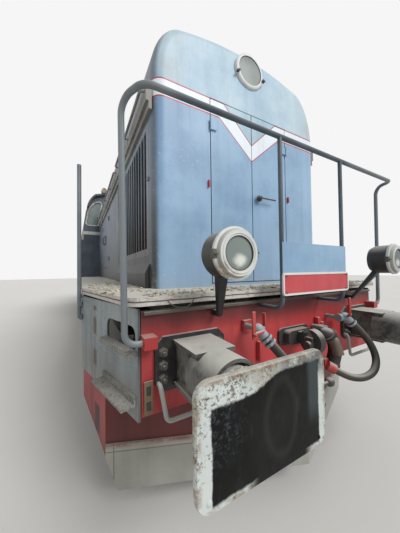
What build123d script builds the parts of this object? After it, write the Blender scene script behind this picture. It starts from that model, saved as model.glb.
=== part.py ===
import math
import os

from build123d import *

os.makedirs("parts", exist_ok=True)

# A four-axle diesel-hydraulic locomotive, in millimetres. It runs along Y with its long hood
# towards -Y. The origin is on the centreline, midway between the buffers, at the flange tips.

# Track and wheels
rail_top = 28.0
wheel_radius = 500.0
back_to_back = 1360.0
wheel_width = 135.0
flange_width = 32.0
rim_thickness = 75.0
web_inner = 30.0
hub_radius = 150.0
hub_width = 190.0
axle_radius = 85.0
journal_radius = 65.0
axle_length = 2200.0
running_gap = 0.3
moving_gap = 5.0

# Bogies
pivot_spacing = 7200.0
bogie_wheelbase = 2500.0
bogie_half_length = 1980.0
side_frame_x = 980.0
side_frame_thickness = 60.0
side_frame_top = 880.0
side_frame_middle_bottom = 520.0
side_frame_end_bottom = 640.0
transom_width = 130.0
transom_height = 150.0
bolster_length = 520.0
bolster_bottom = 600.0
axlebox_size = 270.0
axlebox_depth = 250.0
axlebox_x = 995.0
axlebox_wing = 620.0
wing_thickness = 30.0
pivot_radius = 120.0
pivot_depth = 200.0
bearer_x = 620.0
bearer_width = 200.0
bearer_length = 260.0
final_drive_radius = 270.0
final_drive_width = 380.0
spring_radius = 75.0
spring_spread = 440.0
spring_height = 180.0
spring_seat = 150.0
spring_x = side_frame_x + side_frame_thickness + spring_seat / 2

# Underframe
beam_plane = 6230.0
beam_thickness = 40.0
beam_bottom = rail_top + 800.0
beam_top = rail_top + 1345.0
deck_top = rail_top + 1425.0
deck_thickness = 45.0
deck_overhang = 46.0
deck_corner_round = 90.0
plate_thickness = 14.0
shoulder_half_width = 1430.0
nose_half_width = shoulder_half_width - 250.0
shoulder_back = 900.0
beam_half_width = nose_half_width - 18.0
plate_bottom = rail_top + 780.0
plate_top = rail_top + 1360.0
plate_length = 1900.0
sill_x = 450.0
sill_width = 120.0
sill_height = 400.0
outer_sill_width = 36.0
outer_sill_height = 260.0
outer_sill_setback = 40.0
foot_hole_start = 25.0
foot_hole_end = 405.0
foot_hole_bottom = rail_top + 1120.0
foot_hole_top = rail_top + 1264.0
foot_hole_round = 50.0

# Steps
upper_tread_height = rail_top + 1118.0
upper_tread_span = (4.0, 410.0)
upper_tread_reach = 52.0
upper_tread_thickness = 28.0
lower_tread_height = rail_top + 856.0
lower_tread_span = (22.0, 460.0)
lower_tread_reach = 82.0
lower_tread_thickness = 12.0
lower_tread_lip = 52.0

# Apron and rail guard
vee_centre_y = -6330.0
vee_corner_x = shoulder_half_width - 130.0
vee_corner_y = -5830.0
apron_thickness = 10.0
apron_top = plate_bottom
apron_bottom = rail_top + 410.0
apron_side_drop = 40.0
blade_bottom = rail_top + 160.0
blade_thickness = 18.0
blade_corner_cut = 70.0
apron_side_end_x = shoulder_half_width - 10.0
apron_side_end_y = -5330.0
apron_side_rise = 160.0
gusset_thickness = 30.0
gusset_length = 420.0
gusset_bottom = rail_top + 470.0

# Buffers
buffer_face = 6850.0
buffer_x = 875.0
buffer_height = rail_top + 1060.0
buffer_base_width = 440.0
buffer_base_height = 290.0
buffer_base_thickness = 22.0
buffer_base_cut = 45.0
buffer_box_base = 120.0
buffer_box_nose = 112.0
buffer_box_height = 244.0
buffer_box_plate = 16.0
buffer_web_depth = 14.0
buffer_box_end = 275.0
buffer_tube_start = 200.0
buffer_tube_radius = 132.0
buffer_tube_bore = 116.0
buffer_tube_end = 425.0
buffer_mouth_depth = 35.0
plunger_radius = 100.0
head_width = 580.0
head_height = 370.0
head_corner = 48.0
head_thickness = 58.0
head_crown = 5000.0

# Draw gear
guide_width = 250.0
guide_height = 100.0
guide_depth = 70.0
guide_flange_side = 40.0
guide_flange_top = 13.0
guide_corner = 40.0
hook_thickness = 56.0
hook_shank_height = 80.0
hook_reach = 165.0
hook_outer = 84.0
hook_throat = 34.0
link_x = 46.0
link_width = 50.0
link_thickness = 18.0
link_length = 210.0
trunnion_radius = 27.0
trunnion_length = 160.0
screw_radius = 19.0
screw_length = 250.0
bow_radius = 14.0
bow_half_width = 58.0
bow_length = 150.0

# Hoods
hood_half_width = 960.0
hood_front_y = -5810.0
hood_rear_y = 5810.0
hood_wall = 40.0
hood_roof = rail_top + 3687.0
hood_shoulder = rail_top + 3080.0
hood_shoulder_width = 280.0
hood_shoulder_rise = 515.0
hood_shoulder_turn = 80.0
nose_lean = 0.07
nose_round = 90.0
nose_door_half_width = 465.0
nose_door_top = rail_top + 3050.0
nose_door_bottom = rail_top + 1447.0
door_thickness = 32.0
door_gap = 8.0
hinge_stand = 15.0
hinge_radius = 9.0
long_door_centre = -2130.0
short_door_hinge = 3500.0
side_door_width = 700.0
side_door_bottom = rail_top + 1640.0
shutter_front = -5650.0
shutter_back = -4100.0
shutter_bottom = rail_top + 1690.0
gutter_bottom = rail_top + 2800.0
side_door_top = gutter_bottom - 20.0
shutter_top = gutter_bottom - 15.0
gutter_step = rail_top + 2860.0
gutter_top = rail_top + 2970.0
gutter_reach = 45.0
gutter_lip_reach = 25.0
gutter_end = 40.0
gutter_space = 300.0
plinth_reach = 42.0
plinth_top = rail_top + 1542.0
plinth_slope_top = rail_top + 1625.0
plinth_spare = 40.0
shutter_frame = 55.0
slat_pitch = 105.0
slat_thickness = 10.0
slat_width = 95.0
slat_angle = 40.0

# Cab
cab_front_y = -330.0
cab_rear_y = 2150.0
cab_middle_y = (cab_front_y + cab_rear_y) / 2
cab_half_width = shoulder_half_width + 10.0
cab_belt = rail_top + 2490.0
cab_wall = 50.0
cab_eaves_x = cab_half_width - 150.0
cab_eaves = rail_top + 3464.0
cab_corner_x = cab_half_width - 226.0
cab_corner = rail_top + 3661.0
cab_round_x = cab_half_width - 360.0
cab_round = rail_top + 3826.0
cab_top = rail_top + 3980.0
cab_roof_thickness = 50.0
roof_overhang = 90.0
cab_floor_top = rail_top + 1900.0
cab_floor_thickness = 40.0
glass_thickness = 8.0
end_window = (
    # in from the cab's side, height above the wheels' flanges
    (125, 2962),
    (188, 3333),
    (254, 3487),
    (357, 3605),
    (547, 3680),
    (442, 3218),
    (442, 2962),
)
window_corner = 60.0
side_window_bottom = rail_top + 2620.0
side_window_top = rail_top + 3380.0
side_window_width = 900.0
side_window_space = 220.0
side_window_cut = 600.0
door_inner_x = hood_half_width + 12.0
door_outer_x = cab_half_width - 72.0
door_foot = deck_top + 40.0
door_head = rail_top + 3380.0
door_outer_top_x = door_outer_x - 136.0
door_hinge_x = door_outer_x
door_window = (
    (door_inner_x + 78, 2958),
    (door_outer_x - 106, 2958),
    (door_outer_x - 168, 3340),
    (door_inner_x + 78, 3340),
)

# End handrails, posts and step posts
rail_y = -6430.0
rail_height = rail_top + 2400.0
rail_leg_x = 1265.0
rail_leg_lean = 12.0
rail_leg_y = -6280.0
rail_front_x = 1190.0
rail_foot_height = rail_top + 1198.0
rail_foot_bend = 60.0
rail_bracket_inner = 1098.0
rail_bracket_outer = 1165.0
rail_bracket_depth = 80.0
rail_bracket_height = 60.0
rail_radius = 16.0
rail_bend = 80.0
rail_post_x = 333.0
rail_post_radius = 14.0
rail_post_foot = rail_top + 1314.0
step_post_radius = 16.0
step_post_top = rail_top + 2450.0
step_post_ys = (-5330.0, -4700.0)

# Signs and lamps
panel_half_width = 347.0
panel_thickness = 4.0
panel_bottom = rail_top + 1397.0
panel_top = rail_top + 1730.0
number_plate_width = 716.0
number_plate_depth = 139.0
number_plate_height = rail_top + 1466.0
number_plate_thickness = 8.0
lamp_x = 810.0
lamp_height = rail_top + 1635.0
lamp_face = 6610.0
lamp_length = 200.0
lamp_drum_radius = 116.0
lamp_rim_radius = 125.0
lamp_bezel_radius = 105.0
lamp_rim_depth = 40.0
lamp_rim_width = 16.0
lamp_glass_radius = 76.0
lamp_glass_seat = 14.0
lamp_stem_top = (62.0, 50.0)
lamp_stem_foot = (32.0, 26.0)
lamp_foot_x = 718.0
lamp_foot_stand = 64.0
lamp_foot_height = rail_top + 1288.0
lamp_foot_block = 32.0
top_lamp_face = 5815.0
top_lamp_height = rail_top + 3480.0
top_lamp_radius = 167.0
top_lamp_glass = 131.0
top_lamp_rounding = 17.0
top_lamp_depth = 150.0

# Hinges, roof fittings and what is inside
hinge_length = 90.0
hinge_strap = 60.0
hood_rail_x = hood_half_width + gutter_reach + 32.0
hood_rail_height = gutter_top - 15.0
hood_rail_radius = 11.0
hood_rail_setback = 90.0
hood_rail_length = 1400.0
hood_rail_pitch = 1570.0
hood_rail_bend = 30.0
fan_y = -4840.0
fan_radius = 560.0
fan_rise = 50.0
exhaust_y = -2300.0
exhaust_width = 300.0
exhaust_length = 520.0
exhaust_rise = 90.0
vent_rise = 120.0
engine_y = -2400.0
engine_width = 1000.0
engine_length = 2600.0
engine_height = 1500.0
gearbox_y = 910.0
gearbox_width = 1000.0
gearbox_length = 1400.0
gearbox_height = 420.0
tank_outer_x = shoulder_half_width - 40.0
tank_inner_x = tank_outer_x - 670.0
tank_length = 2600.0
tank_height = 560.0
tank_hanger_width = 320.0
tank_hanger_thickness = 60.0
tank_hanger_y = 1000.0

# Brake hoses, their cocks and what hangs on the beam
hose_radius = 26.0
hose_curve_share = 0.45
hose_right_route = (
    (555, -6365, 1143),
    (620, -6415, 1063),
    (645, -6475, 963),
    (620, -6520, 863),
    (545, -6530, 783),
    (440, -6495, 748),
    (345, -6435, 763),
    (275, -6385, 813),
)
hose_left_route = (
    (-455, -6395, 1178),
    (-405, -6440, 1103),
    (-335, -6480, 1008),
    (-278, -6510, 895),
    (-290, -6525, 788),
    (-350, -6512, 695),
    (-447, -6470, 652),
    (-548, -6419, 679),
    (-612, -6374, 768),
)
ferrule_radius = 31.0
ferrule_length = 60.0
cock_radius = 31.0
cock_pipe_radius = 17.0
cock_handle_width = 22.0
cock_handle_length = 105.0
cock_handle_thickness = 8.0
handle_offset = 1.15 * cock_radius + 14.0
hose_head_radius = 38.0
hose_head_length = 62.0
holder_width = 44.0
holder_height = 60.0
holder_drop = 12.0
stub_radius = 40.0
beam_lip_bottom = rail_top + 1330.0
beam_lip_top = rail_top + 1345.0
beam_lip_reach = 24.0
beam_lip_half_length = beam_half_width - 12.0
grab_radius = 12.5
grab_outer_x = 1077.0
grab_inner_x = 673.0
grab_top = rail_top + 965.0
grab_bottom = rail_top + 772.0
grab_stand = 30.0
grab_bend = 35.0

# Brake blocks, sanders and box covers on the bogies
shoe_gap = 8.0
shoe_depth = 55.0
shoe_width = 88.0
shoe_height = 300.0
hanger_width = 50.0
hanger_thickness = 30.0
hanger_beam = 40.0
sander_reach = 125.0
sander_length = 240.0
sander_height = 240.0
sander_pipe_radius = 16.0
box_cover_radius = 100.0
box_cover_depth = 24.0

# Cab fittings
window_frame_width = 30.0
window_frame_depth = 14.0
cab_grab_x = 905.0
cab_grab_stand = 70.0
cab_grab_bottom = deck_top + 160.0
cab_grab_top = rail_top + 2650.0
roof_lamp_x = -845.0
roof_lamp_radius = 72.0
roof_lamp_length = 170.0
horn_x = 500.0
horn_length = 380.0
horn_mouth_radius = 65.0
horn_throat_radius = 22.0


def hood_solid(y_near, y_far, inset):
    """A closed body of the hood's cross-section between two places along the locomotive."""
    low = deck_top + inset
    side = hood_half_width - inset
    centre_x = hood_half_width - hood_shoulder_width
    width = hood_shoulder_width - inset
    rise = hood_shoulder_rise - inset
    turn = math.radians(hood_shoulder_turn)
    roof_x = centre_x + width * math.cos(turn)
    roof_z = hood_shoulder + rise * math.sin(turn)
    with BuildPart() as body:
        with BuildSketch(Plane.XZ.offset(-y_far)):
            with BuildLine():
                Polyline((-side, hood_shoulder), (-side, low), (side, low), (side, hood_shoulder))
                EllipticalCenterArc(
                    (centre_x, hood_shoulder), width, rise, start_angle=0, arc_size=hood_shoulder_turn
                )
                ThreePointArc((roof_x, roof_z), (0, hood_roof - inset), (-roof_x, roof_z))
                EllipticalCenterArc(
                    (-centre_x, hood_shoulder),
                    width,
                    rise,
                    start_angle=180 - hood_shoulder_turn,
                    arc_size=hood_shoulder_turn,
                )
            make_face()
        extrude(amount=y_far - y_near)
    return body.part


def write(solid, name):
    solid.label = name
    export_step(solid, f"parts/{name}.step")


def plate_line(distance, out):
    """A place beside the slanting corner plate: along it from the beam, and out from it."""
    run = math.hypot(shoulder_half_width - nose_half_width, shoulder_back)
    along_x = (shoulder_half_width - nose_half_width) / run
    along_y = shoulder_back / run
    x = nose_half_width + along_x * distance + along_y * out
    y = -beam_plane + along_y * distance - along_x * out
    return (x, y)


# Deck: one plate with tapered corners, over the sills
deck_shoulder_y = beam_plane - shoulder_back
with BuildPart() as deck:
    with BuildSketch(Plane.XY.offset(deck_top - deck_thickness)):
        with BuildLine():
            deck_nose_x = nose_half_width + deck_overhang
            deck_side_x = shoulder_half_width
            deck_end_y = beam_plane + deck_overhang
            Polyline(
                (-deck_nose_x, -deck_end_y),
                (deck_nose_x, -deck_end_y),
                (deck_side_x, -deck_shoulder_y),
                (deck_side_x, deck_shoulder_y),
                (deck_nose_x, deck_end_y),
                (-deck_nose_x, deck_end_y),
                (-deck_side_x, deck_shoulder_y),
                (-deck_side_x, -deck_shoulder_y),
                close=True,
            )
        make_face()
    extrude(amount=deck_thickness)
    corners = deck.edges().filter_by(Axis.Z).filter_by(lambda e: abs(e.center().X) < deck_side_x - 1)
    fillet(corners, deck_corner_round)
write(deck.part, "deck")

# Underframe: two deep sills, two thin outer sills, cross-bearers and the bogie pivots
sill_top = deck_top - deck_thickness
sill_bottom = sill_top - sill_height
sill_length = 2 * (beam_plane - beam_thickness)
outer_sill_x = shoulder_half_width - plate_thickness - outer_sill_width / 2
outer_sill_length = 2 * (deck_shoulder_y - outer_sill_setback)
bearer_reach = outer_sill_x - outer_sill_width / 2
with BuildPart() as underframe:
    for side in (-1, 1):
        with Locations((side * sill_x, 0, (sill_top + sill_bottom) / 2)):
            Box(sill_width, sill_length, sill_height)
        with Locations((side * outer_sill_x, 0, sill_top - outer_sill_height / 2)):
            Box(outer_sill_width, outer_sill_length, outer_sill_height)
    for y in (-5000, -pivot_spacing / 2, -2000, 0, 2000, pivot_spacing / 2, 5000):
        with Locations((0, y, sill_top - 60)):
            Box(2 * bearer_reach, 160, 120)
    for end in (-1, 1):
        with Locations((0, end * pivot_spacing / 2, sill_bottom + sill_height / 2)):
            Box(2 * sill_x, bolster_length, sill_height)
        with Locations((0, end * pivot_spacing / 2, sill_bottom + 1)):
            Cylinder(pivot_radius, pivot_depth, align=(Align.CENTER, Align.CENTER, Align.MAX))
        for side in (-1, 1):
            with Locations((side * bearer_x, end * pivot_spacing / 2, sill_top)):
                Box(bearer_width, bearer_length, sill_height, align=(Align.CENTER, Align.CENTER, Align.MAX))
write(underframe.part, "underframe")

# Buffer beams
with BuildPart() as buffer_beams:
    for end in (-1, 1):
        with Locations((0, end * (beam_plane - beam_thickness / 2), (beam_bottom + beam_top) / 2)):
            Box(2 * beam_half_width, beam_thickness, beam_top - beam_bottom)
write(buffer_beams.part, "buffer_beams")

# Corner plates: the grey side sheets that follow the tapered corners, with the foot holes
slant = Plane(
    origin=(*plate_line(0, 0), 0),
    x_dir=(shoulder_half_width - nose_half_width, shoulder_back, 0),
    z_dir=(shoulder_back, nose_half_width - shoulder_half_width, 0),
)
with BuildPart() as corner_plates:
    with BuildSketch(Plane.XY.offset(plate_bottom)):
        with BuildLine():
            inner_nose = plate_line(0, -plate_thickness)
            plate_end_y = plate_length - beam_plane
            slope = shoulder_back / (shoulder_half_width - nose_half_width)
            inner_x = shoulder_half_width - plate_thickness
            Polyline(
                plate_line(0, 0),
                (shoulder_half_width, -deck_shoulder_y),
                (shoulder_half_width, plate_end_y),
                (inner_x, plate_end_y),
                (inner_x, inner_nose[1] + (inner_x - inner_nose[0]) * slope),
                inner_nose,
                close=True,
            )
        make_face()
    extrude(amount=plate_top - plate_bottom)
    with BuildSketch(slant.offset(-40)):
        hole_middle = (foot_hole_start + foot_hole_end) / 2
        with Locations((hole_middle, (foot_hole_bottom + foot_hole_top) / 2)):
            RectangleRounded(foot_hole_end - foot_hole_start, foot_hole_top - foot_hole_bottom, foot_hole_round)
    extrude(amount=80, mode=Mode.SUBTRACT)
    mirror(about=Plane.YZ)
    mirror(about=Plane.XZ)
write(corner_plates.part, "corner_plates")

# Steps: two treads at each corner, folded up at the back and hung on the corner plate
tread_table = (
    # span along the plate, height, reach out from it, thickness, height of the folded back
    (upper_tread_span, upper_tread_height, upper_tread_reach, upper_tread_thickness, upper_tread_thickness),
    (lower_tread_span, lower_tread_height, lower_tread_reach, lower_tread_thickness, lower_tread_lip),
)
with BuildPart() as corner_steps:
    for span, height, reach, thickness, lip in tread_table:
        with BuildSketch(Plane.XY.offset(height)):
            with BuildLine():
                Polyline(
                    plate_line(span[0], 0),
                    plate_line(span[0], reach),
                    plate_line(span[1], reach),
                    plate_line(span[1], 0),
                    close=True,
                )
            make_face()
        extrude(amount=thickness)
        with BuildSketch(slant):
            with Locations(((span[0] + span[1]) / 2, height + lip / 2)):
                Rectangle(span[1] - span[0], lip)
        extrude(amount=lower_tread_thickness)
    mirror(about=Plane.YZ)
    mirror(about=Plane.XZ)
write(corner_steps.part, "corner_steps")


def vee_band(top, bottom, thickness, outwards):
    """A wall that follows the vee of the rail guard in plan, at one end of the locomotive."""
    with BuildPart() as band:
        with BuildSketch(Plane.XY.offset(bottom)):
            with BuildLine():
                back = thickness if outwards == 0 else 0
                Polyline(
                    (-vee_corner_x, vee_corner_y - outwards),
                    (0, vee_centre_y - outwards),
                    (vee_corner_x, vee_corner_y - outwards),
                    (vee_corner_x, vee_corner_y + back),
                    (0, vee_centre_y + back),
                    (-vee_corner_x, vee_corner_y + back),
                    close=True,
                )
            make_face()
        extrude(amount=top - bottom)
    return band.part


# Aprons: the red sheets under the beams, vee-shaped in plan, with raked side sheets
with BuildPart() as apron_sides:
    with BuildSketch(Plane.XY.offset(apron_bottom - apron_side_drop)):
        with BuildLine():
            Polyline(
                (vee_corner_x, vee_corner_y),
                (apron_side_end_x, apron_side_end_y),
                (apron_side_end_x - apron_thickness, apron_side_end_y),
                (vee_corner_x - apron_thickness, vee_corner_y),
                close=True,
            )
        make_face()
    extrude(amount=apron_top - apron_bottom + apron_side_drop)
    with BuildSketch(Plane.YZ.offset(vee_corner_x - 100)):
        with BuildLine():
            Polyline(
                (vee_corner_y - 50, apron_bottom - 150),
                (apron_side_end_y + 50, apron_bottom - 150),
                (apron_side_end_y + 50, apron_bottom + apron_side_rise),
                (vee_corner_y, apron_bottom - apron_side_drop),
                (vee_corner_y - 50, apron_bottom - apron_side_drop),
                close=True,
            )
        make_face()
    extrude(amount=400, mode=Mode.SUBTRACT)
    mirror(about=Plane.YZ)
with BuildPart() as aprons:
    add(vee_band(apron_top, apron_bottom, apron_thickness, 0))
    add(apron_sides.part)
    for side in (-1, 1):
        gusset_front = vee_centre_y + (vee_corner_y - vee_centre_y) * sill_x / vee_corner_x
        with BuildSketch(Plane.YZ.offset(side * sill_x - gusset_thickness / 2)):
            with BuildLine():
                Polyline(
                    (gusset_front + apron_thickness, gusset_bottom),
                    (gusset_front + gusset_length, sill_bottom),
                    (-beam_plane + beam_thickness, sill_bottom),
                    (-beam_plane + beam_thickness, beam_bottom),
                    (gusset_front + apron_thickness, beam_bottom),
                    close=True,
                )
            make_face()
        extrude(amount=gusset_thickness)
    mirror(about=Plane.XZ)
write(aprons.part, "aprons")

# Rail guards: the thick grey blades along the foot of the aprons
with BuildPart() as rail_guards:
    add(vee_band(apron_bottom + 40, blade_bottom, blade_thickness, blade_thickness))
    for side in (-1, 1):
        with BuildSketch(Plane.XZ.offset(5500)):
            with BuildLine():
                Polyline(
                    (side * (vee_corner_x + 1), blade_bottom - 1),
                    (side * (vee_corner_x - blade_corner_cut), blade_bottom - 1),
                    (side * (vee_corner_x + 1), apron_bottom - 40),
                    close=True,
                )
            make_face()
        extrude(amount=1000, mode=Mode.SUBTRACT)
    mirror(about=Plane.XZ)
write(rail_guards.part, "rail_guards")

# Buffer housings: a base plate with cut corners, a box and a short tube on each
with BuildPart() as buffer_housings:
    with BuildSketch(Plane.XZ.offset(beam_plane)) as base:
        with Locations((buffer_x, buffer_height)):
            Rectangle(buffer_base_width, buffer_base_height)
        chamfer(base.vertices(), buffer_base_cut)
    extrude(amount=buffer_base_thickness)
    with BuildSketch(Plane.XY.offset(buffer_height - buffer_box_height / 2)):
        with BuildLine():
            Polyline(
                (buffer_x - buffer_box_base, -beam_plane),
                (buffer_x - buffer_box_nose, -beam_plane - buffer_box_end),
                (buffer_x + buffer_box_nose, -beam_plane - buffer_box_end),
                (buffer_x + buffer_box_base, -beam_plane),
                close=True,
            )
        make_face()
    extrude(amount=buffer_box_height)
    with BuildSketch(Plane.XY.offset(buffer_height - buffer_box_height / 2 + buffer_box_plate)):
        for side in (-1, 1):
            with BuildLine():
                Polyline(
                    (buffer_x + side * (buffer_box_base + 1), -beam_plane - buffer_base_thickness),
                    (buffer_x + side * (buffer_box_base + 1), -beam_plane - buffer_box_end - 1),
                    (buffer_x + side * (buffer_box_nose - buffer_web_depth), -beam_plane - buffer_box_end - 1),
                    (buffer_x + side * (buffer_box_base - buffer_web_depth), -beam_plane - buffer_base_thickness),
                    close=True,
                )
            make_face()
    extrude(amount=buffer_box_height - 2 * buffer_box_plate, mode=Mode.SUBTRACT)
    with BuildSketch(Plane.XZ.offset(beam_plane + buffer_tube_start)):
        with Locations((buffer_x, buffer_height)):
            Circle(buffer_tube_radius)
    extrude(amount=buffer_tube_end - buffer_tube_start)
    with BuildSketch(Plane.XZ.offset(beam_plane + buffer_tube_end)):
        with Locations((buffer_x, buffer_height)):
            Circle(buffer_tube_bore)
    extrude(amount=-buffer_mouth_depth, mode=Mode.SUBTRACT)
    mirror(about=Plane.YZ)
    mirror(about=Plane.XZ)
write(buffer_housings.part, "buffer_housings")

# Buffer heads: crowned rectangular plates on their plungers
with BuildPart() as buffer_heads:
    with BuildSketch(Plane.XZ.offset(buffer_face - head_thickness)):
        with Locations((buffer_x, buffer_height)):
            RectangleRounded(head_width, head_height, head_corner)
    extrude(amount=head_thickness)
    with Locations((buffer_x, head_crown - buffer_face, buffer_height)):
        Sphere(head_crown, mode=Mode.INTERSECT)
    plunger_seat = beam_plane + buffer_tube_end - buffer_mouth_depth
    with BuildSketch(Plane.XZ.offset(plunger_seat)):
        with Locations((buffer_x, buffer_height)):
            Circle(plunger_radius)
    extrude(amount=buffer_face - head_thickness - plunger_seat)
    mirror(about=Plane.YZ)
    mirror(about=Plane.XZ)
write(buffer_heads.part, "buffer_heads")

def pipe(points, radii, radius, sides=0):
    """A tube along straight runs joined by tangent arcs: round, or with so many flat sides."""
    with BuildPart() as tube:
        with BuildLine() as path:
            if len(points) == 2:
                Line(*points)
            else:
                FilletPolyline(*points, radius=radii)
        with BuildSketch(Plane(origin=path.line @ 0, z_dir=path.line % 0)):
            if sides:
                RegularPolygon(radius, sides)
            else:
                Circle(radius)
        sweep()
    return tube.part


# Draw gear: a flanged guide and a hook on each beam, with a screw coupling hanging from the hook
hook_y = -beam_plane - hook_reach
coupling_y = hook_y - 10
trunnion_z = buffer_height - link_length
with BuildPart() as draw_guide:
    with BuildSketch(Plane.XZ.offset(beam_plane)):
        with Locations((0, buffer_height)):
            RectangleRounded(guide_width + 2 * guide_flange_side, guide_height + 2 * guide_flange_top, guide_corner)
    extrude(amount=18)
    with BuildSketch(Plane.XZ.offset(beam_plane)):
        with Locations((0, buffer_height)):
            RectangleRounded(guide_width, guide_height, guide_corner)
    extrude(amount=guide_depth)
    with BuildSketch(Plane.YZ.offset(-hook_thickness / 2)):
        with Locations(((hook_y - beam_plane) / 2, buffer_height)):
            Rectangle(hook_reach, hook_shank_height)
        with Locations((hook_y, buffer_height - 10)):
            Circle(hook_outer)
        with Locations((hook_y + 14, buffer_height + 26)):
            Circle(hook_throat, mode=Mode.SUBTRACT)
        with Locations((hook_y + 32, buffer_height + 74)):
            Rectangle(1.6 * hook_throat, 90, rotation=-20, mode=Mode.SUBTRACT)
    extrude(amount=hook_thickness)
with BuildPart() as coupling:
    for side in (-1, 1):
        with Locations((side * link_x, coupling_y, buffer_height - link_length / 2)):
            Box(link_thickness, link_width, link_length + link_width)
        with Locations((side * bow_half_width, coupling_y, trunnion_z - screw_length)):
            Cylinder(bow_radius, bow_length, align=(Align.CENTER, Align.CENTER, Align.MAX))
    for height in (buffer_height - 25, trunnion_z, trunnion_z - screw_length):
        with Locations(Location((0, coupling_y, height), (0, 90, 0))):
            Cylinder(trunnion_radius, trunnion_length)
    with Locations((0, coupling_y, trunnion_z)):
        Cylinder(screw_radius, screw_length, align=(Align.CENTER, Align.CENTER, Align.MAX))
    with Locations(Location((0, coupling_y, trunnion_z - screw_length / 2), (0, 90, 0))):
        Cylinder(bow_radius, 170, align=(Align.CENTER, Align.CENTER, Align.MIN))
    with Locations((175, coupling_y, trunnion_z - screw_length / 2)):
        Sphere(34)
    bow_low = trunnion_z - screw_length - bow_length
    with BuildSketch(Plane.XY.offset(bow_low)):
        with Locations((-bow_half_width, coupling_y)):
            Circle(bow_radius)
    revolve(axis=Axis((0, coupling_y, bow_low), (0, 1, 0)), revolution_arc=-180)
with BuildPart() as draw_gear:
    add(draw_guide.part)
    add(coupling.part)
    mirror(about=Plane.XZ)
write(draw_gear.part, "draw_gear")


# End handrails: one bent tube across each end, with two posts down to the beam
with BuildPart() as end_handrails:
    rail_points = [
        (-rail_bracket_outer + 20, rail_leg_y, rail_foot_height),
        (rail_leg_lean - rail_leg_x, rail_leg_y, rail_foot_height),
        (-rail_leg_x, rail_leg_y, rail_height),
        (-rail_front_x, rail_y, rail_height),
        (rail_front_x, rail_y, rail_height),
        (rail_leg_x, rail_leg_y, rail_height),
        (rail_leg_x - rail_leg_lean, rail_leg_y, rail_foot_height),
        (rail_bracket_outer - 20, rail_leg_y, rail_foot_height),
    ]
    rail_bends = [rail_foot_bend, rail_bend, rail_bend, rail_bend, rail_bend, rail_foot_bend]
    add(pipe(rail_points, rail_bends, rail_radius, 12))
    for side in (-1, 1):
        with Locations((side * (rail_bracket_inner + rail_bracket_outer) / 2, -beam_plane, rail_foot_height)):
            Box(
                rail_bracket_outer - rail_bracket_inner,
                rail_bracket_depth,
                rail_bracket_height,
                align=(Align.CENTER, Align.MAX, Align.CENTER),
            )
    for side in (-1, 1):
        post_points = [
            (side * rail_post_x, rail_y, rail_height - rail_radius / 2),
            (side * rail_post_x, rail_y, rail_post_foot),
            (side * rail_post_x, -beam_plane, rail_post_foot),
        ]
        add(pipe(post_points, [60], rail_post_radius, 12))
    mirror(about=Plane.XZ)
write(end_handrails.part, "end_handrails")

# Step handrails: two upright tubes at each shoulder of the deck
with BuildPart() as step_handrails:
    step_post_x = shoulder_half_width + step_post_radius + 4
    for y in step_post_ys:
        step_post = [(step_post_x, y, plate_top - 180), (step_post_x, y, step_post_top)]
        add(pipe(step_post, [], step_post_radius, 12))
        for low in (plate_top - 170, plate_top - 60):
            with Locations((shoulder_half_width, y, low)):
                Box(step_post_radius + 4, 50, 36, align=(Align.MIN, Align.CENTER, Align.CENTER))
    mirror(about=Plane.YZ)
    mirror(about=Plane.XZ)
write(step_handrails.part, "step_handrails")

# Sign panels: a sheet between the posts at each end, with a blank framed plate on it
with BuildPart() as sign_panels:
    with Locations((0, rail_y - rail_post_radius - panel_thickness / 2, (panel_bottom + panel_top) / 2)):
        Box(2 * panel_half_width, panel_thickness, panel_top - panel_bottom)
    mirror(about=Plane.XZ)
plate_back = -rail_y + rail_post_radius + panel_thickness
with BuildPart() as number_plates:
    with BuildSketch(Plane.XZ.offset(plate_back)):
        with Locations((0, number_plate_height)):
            RectangleRounded(number_plate_width, number_plate_depth, 22)
    extrude(amount=number_plate_thickness)
    with BuildSketch(Plane.XZ.offset(plate_back)):
        with Locations((0, number_plate_height)):
            RectangleRounded(number_plate_width, number_plate_depth, 22)
            RectangleRounded(number_plate_width - 24, number_plate_depth - 24, 14, mode=Mode.SUBTRACT)
    extrude(amount=number_plate_thickness + 4)
    mirror(about=Plane.XZ)
with BuildPart() as end_signs:
    add(sign_panels.part)
    add(number_plates.part)
write(end_signs.part, "end_signs")

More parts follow.
